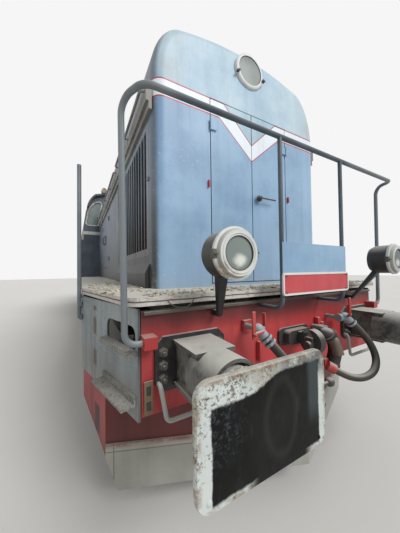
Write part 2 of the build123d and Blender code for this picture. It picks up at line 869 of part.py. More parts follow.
# Lower lamps: a drum and rim on a tapered stem from the beam, four in all
with BuildPart() as lower_lamps:
    with BuildSketch(Plane.XY.offset(lamp_height)):
        with BuildLine():
            lamp_profile = (
                # radius, depth behind the lamp's face
                (0, lamp_length),
                (0.5 * lamp_drum_radius, lamp_length),
                (0.85 * lamp_drum_radius, lamp_length - 18),
                (lamp_drum_radius, lamp_length - 52),
                (lamp_drum_radius, lamp_rim_depth),
                (lamp_rim_radius, lamp_rim_depth),
                (lamp_rim_radius, lamp_rim_depth - lamp_rim_width),
                (lamp_bezel_radius + 8, lamp_rim_depth - lamp_rim_width - 3),
                (lamp_bezel_radius, 6),
                (lamp_bezel_radius, 0),
                (lamp_glass_radius, 0),
                (lamp_glass_radius, lamp_glass_seat),
                (0, lamp_glass_seat),
            )
            Polyline(*[(lamp_x + out, depth - lamp_face) for out, depth in lamp_profile], close=True)
        make_face()
    revolve(axis=Axis((lamp_x, 0, lamp_height), (0, 1, 0)))
    lamp_foot_y = -beam_plane - lamp_foot_stand
    with BuildSketch(Plane.XY.offset(lamp_foot_height)):
        with Locations((lamp_foot_x, lamp_foot_y)):
            RectangleRounded(*lamp_stem_foot, 8)
    with BuildSketch(Plane.XY.offset(lamp_height - 0.8 * lamp_drum_radius)):
        with Locations((lamp_x, lamp_length - lamp_face - lamp_stem_top[1])):
            RectangleRounded(*lamp_stem_top, 8)
    loft()
    with Locations((lamp_foot_x, lamp_foot_y, lamp_foot_height)):
        Box(
            0.8 * lamp_stem_foot[0],
            lamp_foot_stand,
            lamp_foot_block,
            align=(Align.CENTER, Align.MIN, Align.MIN),
        )
    mirror(about=Plane.YZ)
    mirror(about=Plane.XZ)


def nose_cut():
    """What the leaning nose takes off the front of a hood, above its doors."""
    lean_start = nose_door_top + 8
    lean_end = hood_roof + 60
    with BuildPart() as wedge:
        with BuildSketch(Plane.YZ.offset(-1.1 * hood_half_width)):
            with BuildLine():
                Polyline(
                    (hood_front_y, lean_start),
                    (hood_front_y + nose_lean * (lean_end - lean_start), lean_end),
                    (hood_front_y - 100, lean_end),
                    (hood_front_y - 100, lean_start),
                    close=True,
                )
            make_face()
        extrude(amount=2.2 * hood_half_width)
    return wedge.part


def hood_outer(far):
    """A hood's outside, its nose towards -Y, with the edges of the nose rounded."""
    with BuildPart() as outer:
        add(hood_solid(hood_front_y, far, 0))
        add(nose_cut(), mode=Mode.SUBTRACT)
        nose = outer.edges().filter_by(lambda e: e.center().Y < hood_front_y + 60)
        nose = nose.filter_by(lambda e: abs(e.center().X) > 60 or e.center().Z > hood_roof - 60)
        nose = nose.filter_by(lambda e: e.center().Z > deck_top + 60)
        fillet(nose, nose_round)
    return outer.part


def hood_shell(far, side_openings):
    """A hood as a sheet body with its nose towards -Y: its nose doors and side openings cut."""
    with BuildPart() as shell:
        add(hood_outer(far))
        add(hood_solid(hood_front_y + hood_wall + 45, far + 10, hood_wall), mode=Mode.SUBTRACT)
        with Locations((0, hood_front_y, (nose_door_top + nose_door_bottom) / 2)):
            Box(2 * nose_door_half_width, 4 * hood_wall, nose_door_top - nose_door_bottom, mode=Mode.SUBTRACT)
        for y_low, y_high, z_low, z_high in side_openings:
            with Locations((0, (y_low + y_high) / 2, (z_low + z_high) / 2)):
                Box(3 * hood_half_width, y_high - y_low, z_high - z_low, mode=Mode.SUBTRACT)
    return shell.part


def plinth():
    """The ledge with a sloping top along the foot of the long hood, under its shutters."""
    with BuildPart() as ledge:
        with BuildSketch(Plane.XZ.offset(-shutter_back - plinth_spare)):
            with BuildLine():
                Polyline(
                    (-hood_half_width + 5, deck_top),
                    (-hood_half_width - plinth_reach, deck_top),
                    (-hood_half_width - plinth_reach, plinth_top),
                    (-hood_half_width, plinth_slope_top),
                    (-hood_half_width + 5, plinth_slope_top),
                    close=True,
                )
            make_face()
        extrude(amount=shutter_back - shutter_front + 2 * plinth_spare)
        mirror(about=Plane.YZ)
    return ledge.part


# Long hood: the radiator shutters and one pair of doors open through each side
long_openings = [
    (shutter_front, shutter_back, shutter_bottom, shutter_top),
    (long_door_centre - side_door_width, long_door_centre + side_door_width, side_door_bottom, side_door_top),
]
with BuildPart() as long_hood:
    add(hood_shell(cab_front_y, long_openings))
    add(plinth())
write(long_hood.part, "long_hood")

# Short hood: the same body turned round, with one pair of doors on each side
short_openings = [
    (-short_door_hinge - side_door_width, -short_door_hinge, side_door_bottom, side_door_top),
]
short_hood = mirror(hood_shell(-cab_rear_y, short_openings), about=Plane.XZ)
write(short_hood, "short_hood")

# Radiator shutters: a frame of upright slats in each side of the long hood
with BuildPart() as radiator_shutters:
    shutter_middle_y = (shutter_front + shutter_back) / 2
    shutter_middle_z = (shutter_bottom + shutter_top) / 2
    shutter_length = shutter_back - shutter_front
    shutter_height = shutter_top - shutter_bottom
    with Locations((hood_wall / 2 - hood_half_width, shutter_middle_y, shutter_middle_z)):
        Box(hood_wall, shutter_length, shutter_height)
        Box(
            2 * hood_wall,
            shutter_length - 2 * shutter_frame,
            shutter_height - 2 * shutter_frame,
            mode=Mode.SUBTRACT,
        )
    slat_count = int((shutter_length - 2 * shutter_frame) / slat_pitch)
    for index in range(slat_count):
        slat_y = shutter_middle_y + (index - (slat_count - 1) / 2) * slat_pitch
        slat_place = (hood_wall / 2 - hood_half_width, slat_y, shutter_middle_z)
        with Locations(Location(slat_place, (0, 0, slat_angle))):
            Box(slat_width * 0.55, slat_thickness, shutter_height - 2 * shutter_frame + 2)
    mirror(about=Plane.YZ)
write(radiator_shutters.part, "radiator_shutters")


def leaf(width, bottom, top):
    """A door leaf with its hinge line on Z through the origin; it reaches out along +X."""
    with BuildPart() as door:
        with Locations((door_gap, hinge_stand, bottom)):
            Box(width - 1.5 * door_gap, door_thickness, top - bottom, align=(Align.MIN, Align.MIN, Align.MIN))
        for share in (0.15, 0.85):
            with Locations((0, 0, bottom + share * (top - bottom))):
                Cylinder(hinge_radius, hinge_length)
                Box(hinge_strap, hinge_stand, hinge_length * 0.8, align=(Align.MIN, Align.MIN, Align.CENTER))
    return door.part


# Nose doors: two leaves in the front of each hood
nose_door_low = nose_door_bottom + door_gap
nose_door_high = nose_door_top - door_gap
nose_leaf = leaf(nose_door_half_width, nose_door_low, nose_door_high)
nose_hinge_y = hood_front_y - hinge_stand
left_nose = Pos(-nose_door_half_width, nose_hinge_y, 0) * nose_leaf
write(left_nose, "long_nose_door_left")
write(mirror(left_nose, about=Plane.YZ), "long_nose_door_right")
write(mirror(left_nose, about=Plane.XZ), "short_nose_door_left")
write(mirror(mirror(left_nose, about=Plane.YZ), about=Plane.XZ), "short_nose_door_right")

# Side doors: a pair of leaves on each side of the long hood, and one leaf on the short hood
side_leaf = leaf(side_door_width, side_door_bottom + door_gap, side_door_top - door_gap)
side_hinge_x = -hood_half_width - hinge_stand
rear_leaf = Rot(0, 0, -90) * side_leaf
front_leaf = mirror(rear_leaf, about=Plane.XZ)
side_door_table = (
    # name, leaf, hinge's place along the locomotive
    ("long_side_door_{}_front", front_leaf, long_door_centre - side_door_width),
    ("long_side_door_{}_rear", rear_leaf, long_door_centre + side_door_width),
    ("short_side_door_{}", front_leaf, short_door_hinge),
)
for name, blank, hinge_y in side_door_table:
    left_leaf = Pos(side_hinge_x, hinge_y, 0) * blank
    write(left_leaf, name.format("left"))
    write(mirror(left_leaf, about=Plane.YZ), name.format("right"))

# Lamps: the lower ones, and a shallow drum let into each leaning nose
with BuildPart() as top_lamp:
    with BuildSketch(Plane.XY.offset(top_lamp_height)):
        with BuildLine():
            top_lamp_profile = (
                # radius, depth behind the lamp's face
                (0, top_lamp_depth),
                (top_lamp_radius, top_lamp_depth),
                (top_lamp_radius, top_lamp_rounding),
                (top_lamp_radius - 0.3 * top_lamp_rounding, 0.3 * top_lamp_rounding),
                (top_lamp_radius - top_lamp_rounding, 0),
                (top_lamp_glass + 5, 0),
                (top_lamp_glass, 6),
                (top_lamp_glass, lamp_glass_seat),
                (0, lamp_glass_seat),
            )
            Polyline(*[(out, depth - top_lamp_face) for out, depth in top_lamp_profile], close=True)
        make_face()
    revolve(axis=Axis((0, 0, top_lamp_height), (0, 1, 0)))
    add(hood_outer(cab_front_y), mode=Mode.SUBTRACT)
    mirror(about=Plane.XZ)
with BuildPart() as lamps:
    add(lower_lamps.part)
    add(top_lamp.part)
write(lamps.part, "lamps")

# Lamp glasses, seated in the rims
with BuildPart() as lamp_glasses:
    with BuildSketch(Plane.XZ.offset(lamp_face - lamp_glass_seat)):
        with Locations((lamp_x, lamp_height), (-lamp_x, lamp_height)):
            Circle(lamp_glass_radius - running_gap)
    extrude(amount=glass_thickness)
    with BuildSketch(Plane.XZ.offset(top_lamp_face - lamp_glass_seat)):
        with Locations((0, top_lamp_height)):
            Circle(top_lamp_glass - running_gap)
    extrude(amount=glass_thickness)
    mirror(about=Plane.XZ)
write(lamp_glasses.part, "lamp_glasses")

# Hood roof: the fan ring over the radiators and the exhaust stack
with BuildPart() as roof_fan:
    with Locations((0, fan_y, hood_roof - 100)):
        Cylinder(fan_radius, 100 + fan_rise, align=(Align.CENTER, Align.CENTER, Align.MIN))
        Cylinder(fan_radius - 40, 2 * fan_rise + 200, mode=Mode.SUBTRACT)
    with Locations((0, fan_y, hood_roof + fan_rise - 20)):
        Box(2 * fan_radius - 50, 30, 16)
        Box(30, 2 * fan_radius - 50, 16)
        Cylinder(fan_radius / 4, 30)
    add(hood_outer(cab_front_y), mode=Mode.SUBTRACT)
with BuildPart() as exhaust:
    with Locations((0, exhaust_y, hood_roof - 60)):
        Box(exhaust_width, exhaust_length, 60 + exhaust_rise, align=(Align.CENTER, Align.CENTER, Align.MIN))
    add(hood_outer(cab_front_y), mode=Mode.SUBTRACT)
    with Locations((0, exhaust_y, hood_roof + exhaust_rise - 80)):
        Box(exhaust_width - 30, exhaust_length - 30, 90, align=(Align.CENTER, Align.CENTER, Align.MIN), mode=Mode.SUBTRACT)
with BuildPart() as roof_fittings:
    add(roof_fan.part)
    add(exhaust.part)
write(roof_fittings.part, "roof_fittings")

# Machinery inside: radiators behind the shutters, the engine, and the gearbox under the cab
inside_floor = deck_top + hood_wall
with BuildPart() as radiators:
    for side in (-1, 1):
        with Locations((side * (hood_half_width - hood_wall - 120), shutter_middle_y, inside_floor)):
            Box(160, shutter_length, 1400, align=(Align.CENTER, Align.CENTER, Align.MIN))
write(radiators.part, "radiators")
with BuildPart() as engine:
    with Locations((0, engine_y, inside_floor)):
        Box(engine_width, engine_length, engine_height, align=(Align.CENTER, Align.CENTER, Align.MIN))
with BuildPart() as gearbox:
    with Locations((0, gearbox_y, deck_top)):
        Box(gearbox_width, gearbox_length, gearbox_height, align=(Align.CENTER, Align.CENTER, Align.MIN))
with BuildPart() as engine_and_gearbox:
    add(engine.part)
    add(gearbox.part)
write(engine_and_gearbox.part, "engine_and_gearbox")


def cab_outline(out):
    """The cab's cross-section from bottom left to bottom right; out moves its roof and sides."""
    left = [
        (-cab_half_width - out, deck_top),
        (-cab_half_width - out, cab_belt),
        (-cab_eaves_x - out, cab_eaves),
    ]
    corner = (-cab_corner_x - 0.8 * out, cab_corner + 0.6 * out)
    shoulder = (-cab_round_x - 0.35 * out, cab_round + 0.94 * out)
    return left, corner, shoulder, (0, cab_top + out)


def cab_face(out_sides, out_roof):
    """The closed cross-section of the cab, its sides and its roof moved out by two amounts."""
    left, corner, shoulder, crown = cab_outline(out_roof)
    sides = cab_outline(out_sides)[0]
    right = [(-x, z) for x, z in reversed(sides)]
    inner_eaves = [] if out_sides == out_roof else [left[2]]
    with BuildSketch() as section:
        with BuildLine():
            Polyline(*sides, *inner_eaves)
            ThreePointArc(left[2], corner, shoulder)
            ThreePointArc(shoulder, crown, (-shoulder[0], shoulder[1]))
            ThreePointArc((-shoulder[0], shoulder[1]), (-corner[0], corner[1]), (-left[2][0], left[2][1]))
            Polyline(*[(-x, z) for x, z in inner_eaves], *right, sides[0])
        make_face()
    return section.sketch


def front_window():
    """The outline of a cab end window beside the hood, on the left of its wall."""
    with BuildSketch() as outline:
        with BuildLine():
            Polyline(*[(inset - cab_half_width, z) for inset, z in end_window], close=True)
        make_face()
        fillet(outline.vertices(), window_corner)
    return outline.sketch


# Cab end walls: a window on one side and the opening of a door on the other
with BuildPart() as cab_front_wall:
    with BuildSketch(Plane.XZ.offset(-cab_front_y - cab_wall)):
        add(cab_face(0, -cab_roof_thickness - running_gap))
    extrude(amount=cab_wall)
    with BuildSketch(Plane.XZ.offset(-cab_front_y - cab_wall)):
        add(front_window())
    extrude(amount=cab_wall, mode=Mode.SUBTRACT)
    with BuildSketch(Plane.XZ.offset(-cab_front_y - cab_wall)):
        with BuildLine():
            Polyline(
                (door_inner_x, door_foot),
                (door_outer_x, door_foot),
                (door_outer_x, cab_belt),
                (door_outer_top_x, door_head),
                (door_inner_x, door_head),
                close=True,
            )
        make_face()
    extrude(amount=cab_wall, mode=Mode.SUBTRACT)
write(cab_front_wall.part, "cab_front_wall")
turn_cab = Pos(0, cab_front_y + cab_rear_y, 0) * Rot(0, 0, 180)
write(turn_cab * cab_front_wall.part, "cab_rear_wall")

# Cab side walls, with two windows each above the belt
with BuildPart() as cab_side_walls:
    with BuildSketch(Plane.XZ.offset(-cab_rear_y + cab_wall)):
        with BuildLine():
            Polyline(
                (-cab_half_width, deck_top),
                (-cab_half_width, cab_belt),
                (-cab_eaves_x, cab_eaves),
                (-cab_eaves_x + cab_wall, cab_eaves),
                (-cab_half_width + cab_wall, cab_belt),
                (-cab_half_width + cab_wall, deck_top),
                close=True,
            )
        make_face()
    extrude(amount=cab_rear_y - cab_front_y - 2 * cab_wall)
    for side in (-1, 1):
        window_y = cab_middle_y + side * (side_window_width + side_window_space) / 2
        with Locations((-cab_half_width, window_y, (side_window_bottom + side_window_top) / 2)):
            Box(
                side_window_cut,
                side_window_width,
                side_window_top - side_window_bottom,
                mode=Mode.SUBTRACT,
            )
    mirror(about=Plane.YZ)
write(cab_side_walls.part, "cab_side_walls")

# Cab roof and floor
with BuildPart() as cab_roof:
    with BuildSketch(Plane.XZ.offset(-cab_rear_y - roof_overhang)):
        add(cab_face(0, 0))
    extrude(amount=cab_rear_y - cab_front_y + 2 * roof_overhang)
    with BuildSketch(Plane.XZ.offset(-cab_rear_y - roof_overhang - 5)):
        add(cab_face(-cab_roof_thickness, -cab_roof_thickness))
    extrude(amount=cab_rear_y - cab_front_y + 2 * roof_overhang + 10, mode=Mode.SUBTRACT)
    with Locations((0, (cab_front_y + cab_rear_y) / 2, cab_eaves)):
        Box(4000, 4000, 4000, align=(Align.CENTER, Align.CENTER, Align.MAX), mode=Mode.SUBTRACT)
write(cab_roof.part, "cab_roof")
with BuildPart() as cab_floor:
    with Locations((0, (cab_front_y + cab_rear_y) / 2, cab_floor_top)):
        Box(
            2 * (cab_half_width - cab_wall),
            cab_rear_y - cab_front_y - 2 * cab_wall,
            cab_floor_thickness,
            align=(Align.CENTER, Align.CENTER, Align.MAX),
        )
write(cab_floor.part, "cab_floor")

# Cab glass: the fixed panes of the end walls and side walls
side_lean = (cab_half_width - cab_eaves_x) / (cab_eaves - cab_belt)
with BuildPart() as end_pane:
    with BuildSketch(Plane.XZ.offset(-cab_front_y - cab_wall / 2)):
        add(front_window())
    extrude(amount=glass_thickness)
with BuildPart() as cab_glass:
    for side in (-1, 1):
        window_y = cab_middle_y + side * (side_window_width + side_window_space) / 2
        low_x = -cab_half_width + side_lean * (side_window_bottom - cab_belt) + cab_wall / 2
        high_x = -cab_half_width + side_lean * (side_window_top - cab_belt) + cab_wall / 2
        with BuildSketch(Plane.XZ.offset(-window_y - side_window_width / 2)):
            with BuildLine():
                Polyline(
                    (low_x, side_window_bottom),
                    (high_x, side_window_top),
                    (high_x + glass_thickness, side_window_top),
                    (low_x + glass_thickness, side_window_bottom),
                    close=True,
                )
            make_face()
        extrude(amount=side_window_width)
    mirror(about=Plane.YZ)
    add(end_pane.part)
    add(turn_cab * end_pane.part)
write(cab_glass.part, "cab_glass")

# Cab doors: a leaf with its window cut, and its pane
with BuildPart() as cab_door:
    with BuildSketch(Plane.XZ.offset(-cab_front_y - door_thickness)):
        with BuildLine():
            Polyline(
                (door_inner_x + door_gap, door_foot + door_gap),
                (door_outer_x - door_gap, door_foot + door_gap),
                (door_outer_x - door_gap, cab_belt),
                (door_outer_top_x - door_gap, door_head - door_gap),
                (door_inner_x + door_gap, door_head - door_gap),
                close=True,
            )
        make_face()
    extrude(amount=door_thickness)
    with BuildSketch(Plane.XZ.offset(-cab_front_y - door_thickness)) as opening:
        with BuildLine():
            Polyline(*door_window, close=True)
        make_face()
        fillet(opening.vertices(), window_corner)
    extrude(amount=door_thickness, mode=Mode.SUBTRACT)
    for height in (door_foot + 250, cab_belt - 200):
        with Locations((door_hinge_x, cab_front_y - hinge_stand, height)):
            Cylinder(hinge_radius, hinge_length)
            Box(hinge_strap, hinge_stand, hinge_length * 0.8, align=(Align.MAX, Align.MIN, Align.CENTER))
write(cab_door.part, "cab_door_front")
write(turn_cab * cab_door.part, "cab_door_rear")
with BuildPart() as door_pane:
    with BuildSketch(Plane.XZ.offset(-cab_front_y - door_thickness / 2)) as pane:
        with BuildLine():
            Polyline(*door_window, close=True)
        make_face()
        fillet(pane.vertices(), window_corner)
    extrude(amount=glass_thickness)
write(door_pane.part, "cab_door_front_glass")
write(turn_cab * door_pane.part, "cab_door_rear_glass")

# Cab inside: a desk at each end and two seats
with BuildPart() as cab_desks:
    with Locations((-200, cab_front_y + cab_wall, cab_floor_top)):
        Box(1300, 420, 850, align=(Align.CENTER, Align.MIN, Align.MIN))
    add(turn_cab * cab_desks.part)
with BuildPart() as cab_seats:
    with Locations((-900, cab_middle_y - 250, cab_floor_top)):
        Cylinder(60, 420, align=(Align.CENTER, Align.CENTER, Align.MIN))
    with Locations((-900, cab_middle_y - 250, cab_floor_top + 420)):
        Box(460, 460, 90, align=(Align.CENTER, Align.CENTER, Align.MIN))
    with Locations((-900, cab_middle_y - 40, cab_floor_top + 500)):
        Box(440, 70, 460, align=(Align.CENTER, Align.CENTER, Align.MIN))
    add(turn_cab * cab_seats.part)
with BuildPart() as cab_furniture:
    add(cab_desks.part)
    add(cab_seats.part)
write(cab_furniture.part, "cab_furniture")

# Gutters along the eaves of the hoods, with grab rails on them
with BuildPart() as hood_rails:
    gutter_table = (
        # from, to, the first rail's start, how many rails
        (hood_front_y + gutter_end, cab_front_y - gutter_space, hood_front_y + hood_rail_setback, 3),
        (cab_rear_y + gutter_space, hood_rear_y - gutter_end, cab_rear_y + gutter_space + hood_rail_setback, 2),
    )
    for near, far, first, count in gutter_table:
        for reach, low, high in (
            (gutter_reach, gutter_step, gutter_top),
            (gutter_lip_reach, gutter_bottom, gutter_step),
        ):
            with Locations((-hood_half_width, (near + far) / 2, (low + high) / 2)):
                Box(reach, far - near, high - low, align=(Align.MAX, Align.CENTER, Align.CENTER))
        for index in range(count):
            start = first + index * hood_rail_pitch
            seat_x = -hood_half_width - gutter_reach / 2
            rail_route = [
                (seat_x, start, hood_rail_height),
                (-hood_rail_x, start, hood_rail_height),
                (-hood_rail_x, start + hood_rail_length, hood_rail_height),
                (seat_x, start + hood_rail_length, hood_rail_height),
            ]
            add(pipe(rail_route, [hood_rail_bend, hood_rail_bend], hood_rail_radius, 10))
            with Locations((seat_x, start + hood_rail_length / 2, hood_rail_height)):
                Box(hood_rail_x + seat_x, 16, 12, align=(Align.MAX, Align.CENTER, Align.CENTER))
    mirror(about=Plane.YZ)
write(hood_rails.part, "hood_rails")

# Ventilator on the cab roof
with BuildPart() as roof_vent:
    with Locations((0, cab_middle_y, cab_top - 30)):
        Cylinder(220, 30 + vent_rise, align=(Align.CENTER, Align.CENTER, Align.MIN))
    with BuildSketch(Plane.XZ.offset(-cab_rear_y - roof_overhang - 10)):
        add(cab_face(0, 0))
    extrude(amount=cab_rear_y - cab_front_y + 2 * roof_overhang + 20, mode=Mode.SUBTRACT)
write(roof_vent.part, "roof_vent")

# Cab fittings: frames round the fixed panes, grab handles by the doors, a roof lamp and two horns
with BuildPart() as end_frame:
    with BuildSketch(Plane.XZ.offset(-cab_front_y)):
        add(offset(front_window(), window_frame_width))
        add(front_window(), mode=Mode.SUBTRACT)
    extrude(amount=window_frame_depth)
    grab_route = [
        (cab_grab_x, cab_front_y, cab_grab_bottom),
        (cab_grab_x, cab_front_y - cab_grab_stand, cab_grab_bottom),
        (cab_grab_x, cab_front_y - cab_grab_stand, cab_grab_top),
        (cab_grab_x, cab_front_y, cab_grab_top),
    ]
    add(pipe(grab_route, [30, 30], grab_radius, 10))
with BuildPart() as side_frames:
    frame_middle = (side_window_bottom + side_window_top) / 2
    frame_x = cab_half_width - side_lean * (frame_middle - cab_belt)
    frame_tilt = -math.degrees(math.atan(side_lean))
    frame_height = (side_window_top - side_window_bottom) * math.hypot(1, side_lean)
    for side in (-1, 1):
        window_y = cab_middle_y + side * (side_window_width + side_window_space) / 2
        with Locations(Location((frame_x, window_y, frame_middle), (0, frame_tilt, 0))):
            Box(
                window_frame_depth,
                side_window_width + 2 * window_frame_width,
                frame_height + 2 * window_frame_width,
                align=(Align.MIN, Align.CENTER, Align.CENTER),
            )
            Box(4 * window_frame_depth, side_window_width, frame_height, mode=Mode.SUBTRACT)
    mirror(about=Plane.YZ)
with BuildPart() as roof_gear:
    with Locations(Location((roof_lamp_x, cab_front_y - 60, cab_top - 20), (90, 0, 0))):
        Cylinder(roof_lamp_radius, roof_lamp_length)
    with Locations((roof_lamp_x, cab_front_y - 20, cab_top - 20)):
        Box(60, 90, 200, align=(Align.CENTER, Align.CENTER, Align.MAX))
    for place, length in ((-1, horn_length), (1, 0.8 * horn_length)):
        horn_at = (horn_x + place * 90, cab_front_y + 250, cab_top + 50)
        with Locations(Location(horn_at, (90, 0, 0))):
            Cone(horn_throat_radius, horn_mouth_radius, length)
        with Locations((horn_at[0], horn_at[1] + 40, horn_at[2])):
            Box(36, 60, 150, align=(Align.CENTER, Align.CENTER, Align.MAX))
    with BuildSketch(Plane.XZ.offset(-cab_rear_y - roof_overhang - 10)):
        add(cab_face(0, 0))
    extrude(amount=cab_rear_y - cab_front_y + 2 * roof_overhang + 20, mode=Mode.SUBTRACT)
with BuildPart() as cab_fittings:
    add(end_frame.part)
    add(turn_cab * end_frame.part)
    add(side_frames.part)
    add(roof_gear.part)
write(cab_fittings.part, "cab_fittings")

# Beam pipes: the lip along the top of each beam and the grab rails under the buffers
with BuildPart() as beam_pipes:
    with Locations((0, -beam_plane, (beam_lip_bottom + beam_lip_top) / 2)):
        Box(
            2 * beam_lip_half_length,
            beam_lip_reach,
            beam_lip_top - beam_lip_bottom,
            align=(Align.CENTER, Align.MAX, Align.CENTER),
        )
    for side in (-1, 1):
        grab_seat = -beam_plane - buffer_base_thickness
        grab_y = grab_seat - grab_stand
        grab_points = [
            (side * grab_outer_x, grab_seat, grab_top),
            (side * grab_outer_x, grab_y, grab_top),
            (side * (grab_outer_x - 35), grab_y, grab_bottom),
            (side * (grab_inner_x + 35), grab_y, grab_bottom),
            (side * grab_inner_x, grab_y, grab_top),
            (side * grab_inner_x, grab_seat, grab_top),
        ]
        add(pipe(grab_points, [22, grab_bend, grab_bend, 22], grab_radius, 10))
    mirror(about=Plane.XZ)
write(beam_pipes.part, "beam_pipes")


def hose_radii(route):
    """The largest even bends that the route's runs leave room for."""
    runs = [Vector(*b) - Vector(*a) for a, b in zip(route, route[1:])]
    bends = []
    for one, two in zip(runs, runs[1:]):
        half_turn = math.radians(one.get_angle(two)) / 2
        bends.append(hose_curve_share * min(one.length, two.length) / math.tan(half_turn))
    return bends


def rod(start, direction, length, radius):
    """A short round bar from a place in a direction."""
    with BuildPart() as bar:
        with BuildSketch(Plane(origin=start, z_dir=direction)):
            Circle(radius)
        extrude(amount=length)
    return bar.part


# Brake hoses: free rubber hoses from the cocks on the front beam to dummy couplings
hose_table = (
    # name, route
    ("brake_hose_right", hose_right_route),
    ("brake_hose_left", hose_left_route),
)
for name, route in hose_table:
    bends = hose_radii(route)
    hose = pipe(route, bends, hose_radius)
    print(name, "radii", [round(bend) for bend in bends], "volume", round(hose.volume / 1e3), "cm3")
    write(hose, name)

# Hose fittings: cocks with their pipes and ferrules, and the blanked stub beside the draw gear
right_start = Vector(*hose_right_route[0])
right_way = (right_start - Vector(*hose_right_route[1])).normalized()
right_cock = right_start + right_way * ferrule_length
left_start = Vector(*hose_left_route[0])
left_way = (left_start - Vector(*hose_left_route[1])).normalized()
left_cock = left_start + left_way * ferrule_length
with BuildPart() as front_fittings:
    for start, way in ((right_start, right_way), (left_start, left_way)):
        add(rod(tuple(start + way * running_gap), tuple(way), ferrule_length, ferrule_radius))
    for cock in (right_cock, left_cock):
        with Locations(tuple(cock)):
            Sphere(1.15 * cock_radius)
    add(rod((left_cock.X, left_cock.Y, left_cock.Z), (0, 1, 0), -beam_plane - left_cock.Y, cock_pipe_radius))
    add(rod(tuple(right_cock), (-1, 0, 0), 100, cock_radius))
    right_pipe_x = right_cock.X - 85
    add(rod((right_pipe_x, right_cock.Y, right_cock.Z), (0, 1, 0), -beam_plane - right_cock.Y, cock_pipe_radius))
    stub_route = [(260, -beam_plane - 80, 1098), (296, -6378, 1020), (300, -6405, 925)]
    add(pipe(stub_route, [60], stub_radius))
    with Locations((260, -beam_plane, 1098)):
        Box(70, 100, 70, align=(Align.CENTER, Align.MAX, Align.CENTER))
    for cock in (right_cock, left_cock):
        add(rod(tuple(cock), (1, 0, 0), handle_offset, 0.4 * cock_radius))
with BuildPart() as hose_fittings:
    add(front_fittings.part)
    for side in (-1, 1):
        rear_cock = (side * 505, beam_plane + 130, left_cock.Z)
        add(rod(rear_cock, (0, -1, 0), 130, cock_pipe_radius))
        with Locations(rear_cock):
            Sphere(1.15 * cock_radius)
        add(rod(rear_cock, (0, 0.5, -0.86), 75, ferrule_radius))
        add(rod(rear_cock, (1, 0, 0), handle_offset, 0.4 * cock_radius))
write(hose_fittings.part, "hose_fittings")

# Hose holders: the cock handles, and the couplings on their dummies at the hoses' far ends
with BuildPart() as hose_holders:
    rear_cocks = [(side * 505, beam_plane + 130, left_cock.Z) for side in (-1, 1)]
    for cock in (tuple(left_cock), tuple(right_cock), *rear_cocks):
        with Locations((cock[0] + handle_offset, cock[1], cock[2] - cock_handle_width / 2)):
            Box(
                cock_handle_thickness,
                cock_handle_width,
                cock_handle_length,
                align=(Align.MIN, Align.CENTER, Align.MIN),
            )
    for route in (hose_right_route, hose_left_route):
        hose_end = Vector(*route[-1])
        way = (hose_end - Vector(*route[-2])).normalized()
        add(rod(tuple(hose_end + way * running_gap), tuple(way), hose_head_length, hose_head_radius))
        head = hose_end + way * hose_head_length
        with Locations((head.X, -beam_plane, head.Z - holder_drop)):
            Box(holder_width, -beam_plane - head.Y, holder_height, align=(Align.CENTER, Align.MAX, Align.MIN))
write(hose_holders.part, "hose_holders")

# Tanks: a fuel tank under each side, hung from the deck
tank_top = sill_top - outer_sill_height
tank_x = (tank_inner_x + tank_outer_x) / 2
with BuildPart() as fuel_tanks:
    with BuildSketch(Plane.XZ.offset(-tank_length / 2)):
        with Locations((tank_x, tank_top - tank_height / 2)):
            RectangleRounded(tank_outer_x - tank_inner_x, tank_height, 70)
    extrude(amount=tank_length)
    for y in (-tank_hanger_y, tank_hanger_y):
        with Locations((tank_x, y, tank_top - 10)):
            Box(
                tank_hanger_width,
                tank_hanger_thickness,
                sill_top - tank_top + 10,
                align=(Align.CENTER, Align.CENTER, Align.MIN),
            )
    mirror(about=Plane.YZ)
write(fuel_tanks.part, "fuel_tanks")


def wheelset(y):
    """An axle with its two wheels, at one place along the locomotive."""
    inner = back_to_back / 2
    outer = inner + wheel_width
    wheel_middle = inner + wheel_width / 2
    flange_radius = wheel_radius + rail_top
    with BuildPart() as turned:
        with BuildSketch(Plane.XY):
            with BuildLine():
                Polyline(
                    (0, 0),
                    (0, axle_radius),
                    (wheel_middle - hub_width / 2, axle_radius),
                    (wheel_middle - hub_width / 2, hub_radius),
                    (wheel_middle - web_inner, hub_radius),
                    (inner + 25, wheel_radius - rim_thickness),
                    (inner, wheel_radius - rim_thickness),
                    (inner, flange_radius),
                    (inner + flange_width * 0.4, flange_radius),
                    (inner + flange_width, wheel_radius),
                    (outer, wheel_radius),
                    (outer, wheel_radius - rim_thickness),
                    (wheel_middle + web_inner, hub_radius),
                    (wheel_middle + hub_width / 2, hub_radius),
                    (wheel_middle + hub_width / 2, journal_radius),
                    (axle_length / 2, journal_radius),
                    (axle_length / 2, 0),
                    close=True,
                )
            make_face()
        revolve(axis=Axis.X)
        mirror(about=Plane.YZ)
    return Pos(0, y, rail_top + wheel_radius) * turned.part


